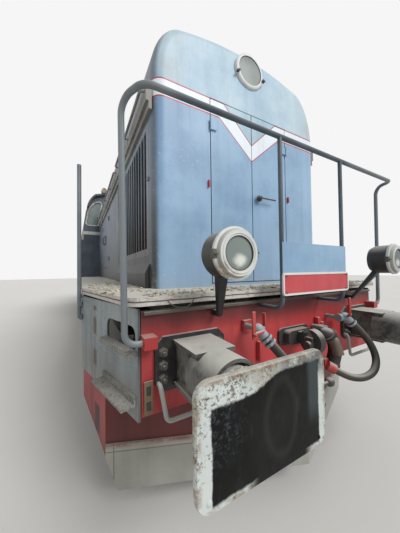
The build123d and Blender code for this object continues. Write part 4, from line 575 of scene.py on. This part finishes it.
def apron_coat(finish):
    base = coat(finish, (134, 42, 42), (154, 64, 62))
    # The faces that look ahead are painted darker than the sides: painted shade.
    base = lay(base, abs(finish.ahead).rise(0.6, 0.85), 92, 30, 32)
    slot = finish.y.between(-5.72, -5.62, 0.006) * finish.z.between(0.47, 0.66, 0.008)
    base = lay(base, slot * 0.9, 22, 18, 18)
    return lay(base, finish.z.rise(0.62, 0.42) * 0.4, 84, 56, 48)


def shutter_coat(finish):
    base = coat(finish, (126, 138, 150), (156, 166, 174))
    base = lay(base, finish.z.rise(2.4, 1.8), 104, 106, 106)
    rust = finish.streaks((30.0, 30.0, 1.2)).rise(0.5, 0.7)
    return lay(base, rust * 0.35, 74, 58, 48)


def cab_coat(finish):
    base = coat(finish, (46, 56, 70), (74, 84, 100))
    band = finish.z.between(2.678, 2.768, 0.003)
    base = lay(base, band * 0.9, 190, 190, 182)
    rim = abs(finish.x).rise(1.375, 1.385) * finish.z.rise(2.5, 2.54)
    return lay(base, rim * 0.8, 164, 160, 148)


def roof_coat(finish):
    base = coat(finish, (62, 66, 70), (98, 100, 98))
    stain = finish.noise(0.9, 6.0, 0.7).rise(0.45, 0.7)
    return lay(base, stain * 0.5, 52, 48, 46)


def pipe_coat(finish):
    base = coat(finish, (70, 62, 56), (104, 96, 88))
    pale = abs(finish.x).rise(0.60, 0.66) * finish.z.rise(1.03, 1.0)
    return lay(base, pale, 150, 152, 148)


def tread_coat(finish):
    base = coat(finish, (112, 112, 106), (140, 140, 134))
    grit = finish.noise(140.0, 3.0, 0.8).rise(0.56, 0.62)
    base = lay(base, grit * 0.7, 186, 184, 174)
    dark = finish.noise(45.0, 5.0, 0.8).rise(0.54, 0.62)
    return lay(base, dark * 0.7, 44, 40, 36)


def guard_coat(finish):
    base = coat(finish, (140, 140, 132), (156, 156, 148))
    rim = finish.z.rise(0.434, 0.438).most(abs(finish.x).rise(1.256, 1.260))
    base = lay(base, rim * 0.5, 158, 154, 140)
    faded = finish.z.rise(0.446, 0.478) * finish.noise(9.0, 4.0, 0.7).rise(0.30, 0.60)
    base = lay(base, faded * 0.85, 104, 40, 40)
    crease = finish.z.between(0.430, 0.437, 0.002).most(abs(finish.x).between(1.252, 1.258, 0.002))
    return lay(base, crease * 0.6, 70, 64, 58)


def wheel_coat(finish):
    rise = finish.z - 0.528
    outer = abs(finish.y) - 4.85
    inner = abs(finish.y) - 2.35
    reach = (outer * outer + rise * rise).least(inner * inner + rise * rise).math("SQRT")
    base = coat(finish, (62, 56, 52), (92, 82, 72))
    rust = finish.noise(7.0, 6.0, 0.75).rise(0.45, 0.65)
    base = lay(base, rust * 0.5, 104, 72, 50)
    base = lay(base, reach.rise(0.16, 0.12), 34, 32, 32)
    tyre = reach.between(0.438, 0.492, 0.004)
    base = lay(base, tyre * 0.6, 112, 104, 96)
    return lay(base, reach.rise(0.492, 0.498) * abs(finish.side).rise(0.7, 0.3), 168, 166, 162)


def rail_coat(finish):
    slate = coat(finish, (58, 70, 80), (84, 96, 106))
    # Lighter at the left end and on the right part: painted highlights.
    pale = finish.x.rise(-1.0, -1.1).most(finish.x.rise(0.35, 0.5) * 0.7)
    slate = lay(slate, pale, 112, 120, 124)
    shoe = finish.z.rise(1.275, 1.265) * abs(finish.y).rise(6.316, 6.312) * abs(finish.x).rise(1.172, 1.168)
    return lay(slate, shoe, 166, 56, 54)


def cock_coat(finish):
    pale = coat(finish, (120, 132, 142), (154, 162, 166))
    elbow = abs(finish.x - 0.29).rise(0.13, 0.11) * finish.z.rise(1.12, 1.10)
    pale = lay(pale, elbow, 92, 80, 68)
    return lay(pale, finish.z.rise(0.90, 0.87), 66, 26, 26)


ONLY = {}
SINGLE = [
    # finish, its colours, roughness, dust, chips, streaks, nodes
    ("housing_iron", housing_coat, 0.5, 1.0, 0.4, 0.35, "buffer_housings"),
    ("corner_paint", corner_coat, 0.6, 0.8, 0.45, 0.40, "corner_plates"),
    ("deck_dust", deck_coat, 0.85, 0.85, 0.30, 0.25, "deck"),
    ("beam_red", red_coat, 0.5, 0.8, 0.35, 0.35, "buffer_beams"),
    ("apron_red", apron_coat, 0.55, 0.7, 0.45, 0.50, "aprons"),
    ("shutter_blue", shutter_coat, 0.55, 0.7, 0.35, 0.5, "radiator_shutters"),
    ("cab_paint", cab_coat, 0.5, 0.5, 0.3, 0.4, "cab_front_wall cab_rear_wall cab_side_walls"),
    ("roof_paint", roof_coat, 0.65, 0.4, 0.3, 0.3, "cab_roof roof_vent"),
    ("pipe_iron", pipe_coat, 0.55, 0.85, 0.3, 0.2, "beam_pipes"),
    ("tread_grit", tread_coat, 0.85, 0.15, 0.4, 0.1, "corner_steps"),
    ("guard_paint", guard_coat, 0.65, 0.5, 0.3, 0.12, "rail_guards"),
    ("wheel_rust", wheel_coat, 0.5, 0.3, 0.3, 0.15,
     "wheelset_front_1 wheelset_front_2 wheelset_rear_1 wheelset_rear_2"),
    ("rail_paint", rail_coat, 0.45, 0.5, 0.25, 0.2, "end_handrails"),
    ("cock_paint", cock_coat, 0.5, 0.6, 0.3, 0.3, "hose_fittings"),
]
for *paint, parts in SINGLE:
    worn(*paint)
    ONLY.update(dict.fromkeys(parts.split(), paint[0]))
ONLY.update({part: "body_blue" for part in nodes if "_side_door_" in part})
print("single parts:", len(ONLY))

# %% [markdown]
# ## Glass
# Old panes are dusty, so they are not clear: a rough film lies on them, and they look pale and
# greenish from outside. Inside a lamp's lens a pale glint is painted: a painted reflection of the bulb and
# its mirror.

# %% Make the glass


def pane(name, tint, dirt, alpha, glint=0.0):
    finish = FINISHES[name] = Finish(name, 0.12)
    film = finish.noise(1.6, 2.0, 0.5).rise(0.2, 0.8)
    colour = film.blend(srgb(*tint), srgb(*dirt))
    if glint:
        # A painted reflection: the pale glint of the bulb and its mirror in the lens.
        across, rise = abs(finish.x) - (LAMP_X - 0.004), finish.z - (LAMP_Z - 0.032)
        ragged = (finish.noise(30.0, 4.0) - 0.5) * 0.03
        reach = (across * across + rise * rise * 1.5).math("SQRT") + ragged
        colour = lay(colour, reach.rise(0.050, 0.012) * glint, 226, 228, 216)
    finish.set("Base Color", colour)
    finish.set("Roughness", film * 0.35 + 0.08)
    finish.set("Alpha", film * 0.3 + alpha)


pane("window_glass", (70, 92, 96), (128, 140, 136), 0.55)
pane("lamp_glass", (84, 98, 100), (132, 142, 138), 0.8, 0.8)
print("glass: 2")

# %% [markdown]
# ## The floor's material
# The floor is plain, matt and pale, and its two greys differ by hardly a shade.

# %% Paint the floor


def clouded(name, rough, scale, dark, pale):
    """A finish of two colours in clouds, with no wear."""
    made = FINISHES[name] = Finish(name, rough)
    made.set("Base Color", coat(made, dark, pale, (scale,), 0.3, 0.7))


clouded("floor_pale", 0.9, 0.6, (208, 207, 203), (210, 209, 205))
floor.data.materials.append(FINISHES["floor_pale"].material)
print("floor painted")

# %% [markdown]
# ## Dressing the solids
# Every imported solid wears the plain material of its slot. A finish of its own takes its place, or
# else the finish that has the slot's name.

# %% Dress the solids
for name, piece in nodes.items():
    for slot in piece.material_slots:
        kind = slot.material.name.split(".")[0] if slot.material else ""
        finish = FINISHES.get(ONLY.get(name, kind))
        if finish:
            slot.material = finish.material
        else:
            print("no finish for", name, kind)
for hose in hoses:
    hose.data.materials.append(FINISHES["hose_rubber"].material)
print("solids dressed")

# %% [markdown]
# ## Tools for the small parts
# Each small part is a primitive shaped in edit mode, as by hand. `block` is a box with its edges
# bevelled, and `hoop` a ring. `turned` pulls the face of a circle up step by step and scales it, as
# a lathe would. `spread` copies a part to a list of spots, each a place, the direction that the
# part's own +Z turns to and a roll about it, and joins the copies. `repeated` gives the spots at
# both ends of the locomotive.

# %% Make the modelling tools
UP = (0.0, 0.0, 1.0)


def pick(*pieces):
    """Back to object mode, with only these pieces selected."""
    if bpy.context.object and bpy.context.object.mode != "OBJECT":
        bpy.ops.object.mode_set(mode="OBJECT")
    bpy.ops.object.select_all(action="DESELECT")
    for piece in pieces:
        piece.select_set(True)
    if pieces:
        bpy.context.view_layer.objects.active = pieces[0]


def apply_place():
    bpy.ops.object.transform_apply(location=True, rotation=True, scale=True)


def edit(piece):
    pick(piece)
    bpy.ops.object.mode_set(mode="EDIT")
    bpy.ops.mesh.select_all(action="SELECT")


def settle(smooth=35.0):
    """Back to object mode, with the place in the mesh and the normals outside."""
    edit(bpy.context.object)
    bpy.ops.mesh.normals_make_consistent(inside=False)
    bpy.ops.object.mode_set(mode="OBJECT")
    apply_place()
    bpy.ops.object.shade_smooth_by_angle(angle=math.radians(smooth))
    return bpy.context.object


def block(low, high, round_edges=0.0, steps=2):
    pick()
    size = [b - a for a, b in zip(low, high)]
    middle = [(a + b) / 2 for a, b in zip(low, high)]
    bpy.ops.mesh.primitive_cube_add(size=1.0, location=middle)
    bpy.context.object.scale = size
    apply_place()
    if round_edges:
        edit(bpy.context.object)
        bpy.ops.mesh.bevel(offset=round_edges, segments=steps, affect="EDGES")
    return settle()


def turned(steps, sides=24, smooth=35.0):
    pick()
    radius, height = steps[0]
    bpy.ops.mesh.primitive_circle_add(vertices=sides, radius=radius, fill_type="NGON",
                                      location=(0, 0, height))
    apply_place()
    edit(bpy.context.object)
    for to_radius, to_height in steps[1:]:
        step = (0, 0, to_height - height)
        bpy.ops.mesh.extrude_region_move(TRANSFORM_OT_translate={"value": step})
        bpy.ops.transform.resize(value=(to_radius / radius, to_radius / radius, 1.0))
        radius, height = to_radius, to_height
    return settle(smooth)


def bar(points, radius, sides=3):
    """A round bar bent through the points: a curve made into a mesh."""
    pick(round_curve("bar", points, radius, sides))
    bpy.ops.object.convert(target="MESH")
    return settle(60.0)


def hoop(radius, sides, place):
    pick()
    bpy.ops.mesh.primitive_torus_add(major_radius=radius, minor_radius=0.005, major_segments=40,
                                     minor_segments=sides, location=place)
    return settle(60.0)


def around(radius, degrees):
    """For each angle, its point on the circle and the angle itself in radians."""
    return [(radius * math.cos(a), radius * math.sin(a), a) for a in map(math.radians, degrees)]


def join(pieces):
    pick(*pieces)
    if len(pieces) > 1:
        bpy.ops.object.join()
    return bpy.context.object


def turn_to(direction, roll=0.0):
    facing = Vector(direction).to_track_quat("Z", "Y").to_matrix().to_4x4()
    return facing @ Matrix.Rotation(roll, 4, "Z")


def twin_of(piece, move=Matrix()):
    """A copy of the piece with a mesh of its own, which the matrix moves."""
    twin = piece.copy()
    twin.data = piece.data.copy()
    twin.data.transform(move)
    return link(twin)


def spread(piece, spots):
    """Copies of the piece at (place, direction, roll) spots, joined; the pattern piece is used up."""
    copies = [twin_of(piece, Matrix.Translation(place) @ turn_to(direction, roll))
              for place, direction, roll in spots]
    bpy.data.objects.remove(piece)
    return join(copies)


def repeated(spots, sides=(1,)):
    """The same spots at the other end too, and on each of the sides."""
    return [((x * s, y * e, z), (dx * s, dy * e, dz), roll)
            for s in sides for e in (1, -1) for (x, y, z), (dx, dy, dz), roll in spots]


def fit(piece, name, slot, finish=None, body="locomotive"):
    piece.name = name
    piece.data.name = name
    piece.data.materials.clear()
    piece.data.materials.append(FINISHES[finish or slot].material)
    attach(piece, body)
    return piece


print("tools ready")

# %% [markdown]
# ## The buffer heads' thin plates
# Seen edge-on, a buffer head is a thin dished plate on a thick plunger. It starts as a flat plane
# with its four corners bevelled round. The face is pulled forward and scaled step by step, which
# rounds the rim and gives the slight crown. The plunger is turned separately and joined to it.

# %% Shape the buffer heads
CROWN = [
    # forward, width, height
    (0.003, 1.006, 1.010), (0.014, 1.000, 1.000), (0.006, 0.988, 0.982), (0.0015, 0.86, 0.80),
    (0.0015, 0.75, 0.72), (0.001, 0.60, 0.60), (0.0005, 0.40, 0.40),
]
pick()
bpy.ops.mesh.primitive_plane_add(size=1.0, location=(0, 0, 0), rotation=(math.pi / 2, 0, 0))
head = bpy.context.object
head.scale = (2 * HEAD_HALF_WIDTH, 2 * HEAD_HALF_HEIGHT, 1.0)
head.location = (0, HEAD_BACK, 0)
apply_place()
edit(head)
bpy.ops.mesh.bevel(offset=0.048, segments=8, affect="VERTICES")
for forward, width, height in CROWN:
    bpy.ops.mesh.extrude_region_move(TRANSFORM_OT_translate={"value": (0, -forward, 0)})
    bpy.ops.transform.resize(value=(width, 1.0, height))
settle(28.0)
PLUNGER_RADIUS = 0.100
plunger = turned([(0.140, 0.0), (0.112, 0.020), (PLUNGER_RADIUS, 0.030), (PLUNGER_RADIUS, 0.190)], 40)
plunger.data.transform(Matrix.Translation((0, HEAD_BACK, 0)) @ turn_to((0, 1, 0)))
head = join([head, plunger])
head_places = [((BUFFER_X * side, 0.0, BUFFER_Z), UP, turn) for side in (-1, 1) for turn in (0.0, math.pi)]
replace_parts(fit(spread(head, head_places), "buffer_head_plates", "buffer_white"), "buffer_heads")
print("buffer heads: 4")

# %% [markdown]
# ## Bolts and rivets
# Six sides make a bolt's head, and a thinner step on it the end of its thread. The places are read
# off the left housing, and the other three housings repeat them.

# %% Drive the bolts and rivets
FRONT = (0.0, -1.0, 0.0)


def bolt(radius, height):
    return turned([(radius * 1.25, 0.0), (radius * 1.25, height * 0.2), (radius, height * 0.25),
                   (radius, height * 0.9), (radius * 0.85, height), (radius * 0.5, height),
                   (radius * 0.48, height * 1.9)], 6, 20.0)


def rivet(radius, height):
    return turned([(radius, 0.0), (radius * 0.9, height * 0.5), (radius * 0.6, height * 0.88),
                   (radius * 0.15, height)], 10, 80.0)


BASE_FACE, BASE_SPOTS = -6.252, ((-0.176, 0.064), (-0.176, -0.006), (-0.176, -0.076),
                                 (0.182, 0.068), (0.182, -0.004), (0.182, -0.076))
base_bolts = [((BUFFER_X * side + u, BASE_FACE, BUFFER_Z + v), FRONT, 0.3 * v)
              for side in (-1, 1) for u, v in BASE_SPOTS]
fit(spread(bolt(0.023, 0.020), repeated(base_bolts)), "buffer_bolts", "tread_steel")
head_spots = [((BUFFER_X + u, -6.8445, BUFFER_Z + v), FRONT, 0.0)
              for u in (-0.248, 0.248) for v in (-0.148, 0.146)]
fit(spread(rivet(0.011, 0.005), repeated(head_spots, (1, -1))), "buffer_head_rivets", "buffer_white")
plate_spots = [((x, -6.459, z), FRONT, 0.0) for x in (-0.325, 0.325) for z in (1.442, 1.547)]
fit(spread(rivet(0.007, 0.003), repeated(plate_spots)), "plate_screws", "tread_steel")
print("bolts:", len(base_bolts) * 2)

# %% [markdown]
# ## What sits on the lamps
# A clamp lug with a screw holds each lens ring, and four small screws sit in the flange.

# %% Add the lamp fittings
RING_FACE = -6.572
screws = [((LAMP_X * side + u, RING_FACE, LAMP_Z + v), FRONT, 0.0)
          for side in (-1, 1) for u, v, _ in around(0.1165, (40, 130, 220, 310))]
fit(spread(rivet(0.006, 0.004), repeated(screws)), "lamp_screws", "lamp_taupe", "tread_steel")
lug = join([block((-0.012, -0.022, -0.010), (0.012, 0.022, 0.016), 0.004),
            spread(bolt(0.007, 0.008), [((0, 0, 0.016), UP, 0.0)])])
lug_spots = [((LAMP_X * side + u, RING_FACE - 0.002, LAMP_Z + v), FRONT, 0.0)
             for side in (-1, 1) for u, v in ((-0.118, -0.004), (0.118, 0.004))]
fit(spread(lug, repeated(lug_spots)), "lamp_clamps", "lamp_taupe", "tread_steel")
top_lug = block((-0.008, -0.016, -0.02), (0.008, 0.016, 0.010), 0.003)
top_spots = [((u, -5.826, TOP_LAMP_Z + v), FRONT, a + math.pi / 2) for u, v, a in around(0.166, (203, 345))]
fit(spread(top_lug, repeated(top_spots)), "top_lamp_lugs", "lamp_taupe", "cast_housing")
bead = hoop(0.091, 8, (0, 0, 0))
bead_spots = [((LAMP_X * side, -6.609, LAMP_Z), FRONT, 0.0) for side in (-1, 1)]
fit(spread(bead, repeated(bead_spots)), "lamp_beads", "lamp_taupe")
print("lamp fittings: 4")

# %% [markdown]
# ## Handles, latches and strips
# Each right nose door has a long lever on a round boss, and the side doors have short bow handles.
# A handle rides on its own door, so that it swings when the door does. The red hinge leaves stay on
# the hood, and so do the latch and the strip beside the shutters.

# %% Add the handles
LEVER_X, LEVER_Z, NOSE_FACE = 0.062, 2.270, 5.834
LEAF_X, LEAF_HEIGHTS = 0.487, (1.70, 2.322)
lever = join([turned([(0.030, 0.0), (0.030, 0.010), (0.020, 0.014), (0.018, 0.032), (0.010, 0.036)], 20),
              block((-0.008, -0.007, 0.024), (0.196, 0.007, 0.032), 0.003)])
for body, end in (("long_nose_door_right", -1), ("short_nose_door_right", 1)):
    flat = Matrix(((1, 0, 0), (0, 0, end), (0, 1, 0))).to_4x4()
    twin = join([twin_of(lever, Matrix.Translation((LEVER_X, end * NOSE_FACE, LEVER_Z)) @ flat)])
    settle()
    fit(twin, body + "_lever", "body_blue", "dark_steel", body)
bpy.data.objects.remove(lever)
leaves = join([block((x - 0.007, -5.832, z - 0.030), (x + 0.007, -5.806, z + 0.030), 0.004)
               for x in (-LEAF_X, LEAF_X) for z in LEAF_HEIGHTS])
fit(spread(leaves, [((0, 0, 0), UP, 0.0), ((0, 0, 0), UP, math.pi)]), "nose_hinge_leaves",
    "body_blue", "red_paint")
SIDE_DOORS = [
    # body, side, y of the handle
    ("long_side_door_left_front", -1, -2.215), ("long_side_door_left_rear", -1, -2.045),
    ("long_side_door_right_front", 1, -2.215), ("long_side_door_right_rear", 1, -2.045),
    ("short_side_door_left", -1, 3.60), ("short_side_door_right", 1, 3.60),
]
SIDE_FACE, PLATE_THICK = 0.966, 0.006
BOW = [(0.0, 2.20), (0.040, 2.20), (0.048, 2.24), (0.048, 2.32), (0.040, 2.36), (0.0, 2.36)]
for body, side, y in SIDE_DOORS:
    x = side * SIDE_FACE
    near, far = sorted((x, x + side * PLATE_THICK))
    bow = bar([(x + side * out, y, z) for out, z in BOW], 0.008)
    plate = block((near, y - 0.022, 2.17), (far, y + 0.022, 2.39), 0.002)
    fit(join([bow, plate]), body + "_handle", "rail_slate", body=body)
latch = block((-0.972, -5.675, 2.315), (-0.957, -5.645, 2.345), 0.004)
strip = block((-0.966, -4.085, 1.70), (-0.956, -4.045, 2.80), 0.002)
fit(join([latch, strip]), "shutter_strip", "buffer_white", "gutter_taupe")
print("handles:", len(SIDE_DOORS) + 2)

# %% [markdown]
# ## The small ironwork on the front beam
# A brass-coloured slotted plate hangs at the beam's left end, red brackets hold the left cock's pipe,
# both cocks have red levers and grey collars, a thick cast elbow and red lugs stand beside the draw
# gear, and a loop of wire hangs from the deck.

# %% Hang the beam's small parts
worn("old_brass", lambda made: coat(made, (104, 86, 62), (134, 116, 88)), 0.55, 0.5, 0.5, 0.5)
plate = block((-1.152, -6.244, 0.840), (-1.104, -6.232, 1.012), 0.003)
slots = [block((-1.140, -6.2455, z), (-1.116, -6.2435, z + 0.050), 0.0008)
         for z in (0.862, 0.940)]
fit(plate, "end_plate", "red_paint", "old_brass")
fit(join(slots), "end_plate_slots", "red_paint", "cast_housing")
bracket = join([block((-0.502, -6.262, 1.178), (-0.430, -6.231, 1.256), 0.006),
                block((-0.372, -6.256, 0.962), (-0.358, -6.231, 1.096), 0.003),
                block((-0.370, -6.262, 0.962), (-0.322, -6.254, 1.096), 0.003)])
fit(bracket, "pipe_bracket", "red_paint", "beam_red")
lever = join([block((-0.578, -6.427, 1.186), (-0.552, -6.416, 1.346), 0.004),
              bar([(-0.470, -6.398, 1.212), (-0.565, -6.422, 1.214)], 0.012),
              spread(bolt(0.010, 0.010), [((-0.565, -6.427, 1.214), FRONT, 0.0)])])
fit(lever, "cock_lever_left", "red_paint")
lever = join([block((0.468, -6.407, 1.196), (0.494, -6.396, 1.352), 0.004),
              bar([(0.545, -6.372, 1.206), (0.481, -6.400, 1.206)], 0.012)])
fit(lever, "cock_lever_right", "red_paint")
worn("cock_grey", lambda made: coat(made, (124, 136, 146), (158, 166, 170)), 0.5, 0.6, 0.3, 0.3)
collars = turned([(0.040, 0.0), (0.040, 0.014), (0.034, 0.018)], 8)
collars = spread(collars, [((-0.452, -6.398, 1.172), (0.52, -0.43, -0.74), 0.0),
                           ((-0.436, -6.412, 1.148), (0.52, -0.43, -0.74), 0.0),
                           ((0.562, -6.370, 1.132), (0.52, -0.45, -0.72), 0.0)])
fit(collars, "cock_collars", "cast_housing", "cock_grey")
elbow = bar([(0.245, -6.300, 1.085), (0.275, -6.350, 1.075), (0.335, -6.352, 1.012),
             (0.352, -6.352, 0.915), (0.318, -6.345, 0.835)], 0.050, 5)
collar = turned([(0.058, 0.0), (0.058, 0.022), (0.052, 0.028)], 24)
collar = spread(collar, [((0.318, -6.345, 0.846), (-0.35, 0.07, -0.93), 0.0),
                         ((0.272, -6.345, 1.076), (0.55, -0.2, -0.60), 0.0)])
fit(join([elbow, collar]), "cast_elbow", "dark_steel", "hose_rubber")
loop = bar([(-1.032, -6.279, 1.428), (-1.010, -6.284, 1.398), (-0.955, -6.290, 1.384),
            (-0.900, -6.286, 1.392), (-0.878, -6.279, 1.424)], 0.0022, 2)
fit(loop, "wire_loop", "dark_steel")
lugs = [block((0.268, -6.268, 1.062), (0.304, -6.231, 1.190), 0.006),
        block((0.308, -6.275, 1.100), (0.340, -6.231, 1.150), 0.006),
        block((0.300, -6.280, 1.056), (0.336, -6.231, 1.092), 0.006)]
fit(join(lugs), "red_lugs", "red_paint", "beam_red")
print("beam parts: 9")

# %% [markdown]
# ## Litter on the deck
# Dry leaves and crumbs of plaster lie along the edge of the platform, and crumbs on the left
# buffer's plunger. One leaf and one crumb are modelled, and a seeded random number generator lays
# the copies, so every run gives the same litter.

# %% Scatter the litter
random.seed(5)
pick()
bpy.ops.mesh.primitive_grid_add(x_subdivisions=3, y_subdivisions=2, size=0.034, location=(0, 0, 0))
leaf = bpy.context.object
edit(leaf)
bpy.ops.transform.resize(value=(1.0, 0.6, 1.0))
bpy.ops.object.mode_set(mode="OBJECT")
for vertex in leaf.data.vertices:
    vertex.select = abs(vertex.co.y) < 0.002
bpy.ops.object.mode_set(mode="EDIT")
bpy.ops.transform.translate(value=(0, 0, -0.004))
bpy.ops.mesh.select_all(action="SELECT")
bpy.ops.mesh.extrude_region_move(TRANSFORM_OT_translate={"value": (0, 0, 0.001)})
settle()


def lie(x_range, y_range, count, z, size):
    spots = []
    for _ in range(count):
        place = (random.uniform(*x_range), random.uniform(*y_range), z + random.uniform(0.0, size))
        lean = (random.uniform(-0.4, 0.4), random.uniform(-0.4, 0.4), 1.0)
        spots.append((place, lean, random.uniform(0, 6.28)))
    return spots


LEAF_Z, CRUMB_Z = 1.456, 1.452
leaf_spots = (lie((-1.12, 1.12), (-6.265, -6.12), 70, LEAF_Z, 0.006)
              + lie((-1.36, -1.0), (-6.05, -5.0), 16, LEAF_Z, 0.006))
crumb = turned([(0.007, 0.0), (0.011, 0.004), (0.008, 0.010), (0.003, 0.012)], 6, 20.0)
crumb_spots = (lie((-1.14, 1.14), (-6.268, -5.95), 260, CRUMB_Z, 0.001)
               + lie((-1.38, -1.0), (-6.0, -4.6), 110, CRUMB_Z, 0.001))
for _ in range(60):
    off, along = random.uniform(-0.055, 0.055), random.uniform(-6.80, -6.67)
    top = BUFFER_Z + math.sqrt(PLUNGER_RADIUS ** 2 - off * off) - 0.001
    crumb_spots.append(((-BUFFER_X + off, along, top), UP, along * 40))
clouded("dry_leaf", 0.8, 31.0, (120, 92, 64), (186, 164, 132))
clouded("plaster_crumb", 0.9, 40.0, (150, 142, 128), (214, 206, 190))
fit(spread(leaf, leaf_spots), "dry_leaves", "frame_grey", "dry_leaf")
fit(spread(crumb, crumb_spots), "plaster_crumbs", "frame_grey", "plaster_crumb")
print("litter:", len(leaf_spots), "leaves", len(crumb_spots), "crumbs")

# %% [markdown]
# ## Springs
# A spring's coil is a small circle that a Screw modifier winds up, and it goes round each of the
# plain spring solids.

# %% Wind the springs
AXLES = {"front": (-4.85, -2.35), "rear": (2.35, 4.85)}
SPRING_X, SPRING_SPREAD, SPRING_LOW = 1.115, 0.22, 0.528
COIL_RADIUS, WIRE_RADIUS, COIL_PITCH, COIL_TURNS = 0.076, 0.013, 0.036, 4
pick()
bpy.ops.mesh.primitive_circle_add(vertices=8, radius=WIRE_RADIUS, location=(COIL_RADIUS, 0, 0),
                                  rotation=(math.pi / 2, 0, 0))
coil = bpy.context.object
apply_place()
bpy.ops.object.modifier_add(type="SCREW")
turns = coil.modifiers[0]
turns.screw_offset = COIL_PITCH
turns.iterations = COIL_TURNS
turns.steps = 20
turns.render_steps = 20
bpy.ops.object.modifier_apply(modifier=turns.name)
settle(60.0)
for end, places in AXLES.items():
    spots = [((side * SPRING_X, y + place, SPRING_LOW + COIL_PITCH / 2), UP, 0.0)
             for side in (-1, 1) for y in places for place in (-SPRING_SPREAD, SPRING_SPREAD)]
    fit(spread(twin_of(coil), spots), "spring_coils_" + end, "dark_steel", body="bogie_" + end)
bpy.data.objects.remove(coil)
print("coils: 16")

# %% [markdown]
# ## The running gear
# Each axlebox has a round cover held by six bolts. They ride on their bogie and swivel with it.

# %% Dress the bogies
AXLE_Z, BOX_FACE, BOLT_CIRCLE = 0.528, 1.190, 0.078
for end, places in AXLES.items():
    centres = [(side, y) for side in (-1, 1) for y in places]
    ring = [((side * BOX_FACE, y + u, AXLE_Z + v), (side, 0, 0), 0.0)
            for side, y in centres for u, v, _ in around(BOLT_CIRCLE, range(30, 390, 60))]
    fit(spread(bolt(0.010, 0.010), ring), "axlebox_bolts_" + end, "dark_steel", "tread_steel",
        "bogie_" + end)
    cap = turned([(0.052, -0.004), (0.052, 0.012), (0.044, 0.018), (0.018, 0.020)], 24)
    caps = [((side * BOX_FACE, y, AXLE_Z), (side, 0, 0), 0.0) for side, y in centres]
    fit(spread(cap, caps), "axlebox_caps_" + end, "dark_steel", "cast_housing", "bogie_" + end)
print("bogies dressed")

# %% [markdown]
# ## Tanks, roof and cab trim
# The tanks hang in three straps and have two fillers on each side. A guard of rings and spokes
# covers the fan, lifting eyes stand on the hoods, and the cab doors have handles.

# %% Trim the tanks, the roof and the cab
TANK_FACE, STRAP_THICK = 1.390, 0.008
FAN_Y, RING_Z, SPOKE_Z, EYE_X, EYE_Z = -4.84, 3.772, 3.766, 0.60, 3.668
straps = []
for side in (-1, 1):
    near, far = sorted((side * TANK_FACE, side * (TANK_FACE + STRAP_THICK)))
    straps += [block((near, y - 0.03, 0.60), (far, y + 0.03, 1.13), 0.002) for y in (-0.95, 0.0, 0.95)]
fit(join(straps), "tank_straps", "dark_steel", "cast_housing")
filler = turned([(0.060, -0.01), (0.060, 0.018), (0.050, 0.026), (0.050, 0.034), (0.020, 0.038)], 20)
fillers = [((side * (TANK_FACE - 0.002), y, 1.02), (side, 0, 0), 0.0)
           for side in (-1, 1) for y in (-0.50, 0.55)]
fit(spread(filler, fillers), "tank_fillers", "dark_steel", "red_paint")
rings = []
for radius in (0.16, 0.26, 0.36, 0.46):
    rings.append(hoop(radius, 6, (0, FAN_Y, RING_Z)))
for x, y, _ in around(1.0, [22.5 + 45 * k for k in range(8)]):
    ends = [(reach * x, FAN_Y + reach * y, SPOKE_Z) for reach in (0.14, 0.53)]
    rings.append(bar(ends, 0.006, 2))
fit(join(rings), "fan_guard", "dark_steel")
eye = bar([(-0.035, 0, -0.01), (-0.035, 0, 0.05), (0.0, 0, 0.085), (0.035, 0, 0.05), (0.035, 0, -0.01)],
          0.009)
eyes = [((EYE_X * side, y, EYE_Z), UP, math.pi / 2)
        for side in (-1, 1) for y in (-5.30, -0.95, 2.75, 5.35)]
fit(spread(eye, eyes), "lifting_eyes", "body_blue")
for body, x, y, end in (("cab_door_front", 1.035, -0.354, -1), ("cab_door_rear", -1.035, 2.174, 1)):
    near, far = sorted((y, y + end * 0.006))
    knob = bar([(x, y, 2.40), (x, y + end * 0.045, 2.40), (x + 0.045 * -end, y + end * 0.052, 2.40),
                (x + 0.12 * -end, y + end * 0.050, 2.395)], 0.009)
    shield = block((x - 0.024, near, 2.30), (x + 0.024, far, 2.44), 0.002)
    fit(join([knob, shield]), body + "_handle", "buffer_white", "rail_slate", body)
print("trim fitted")
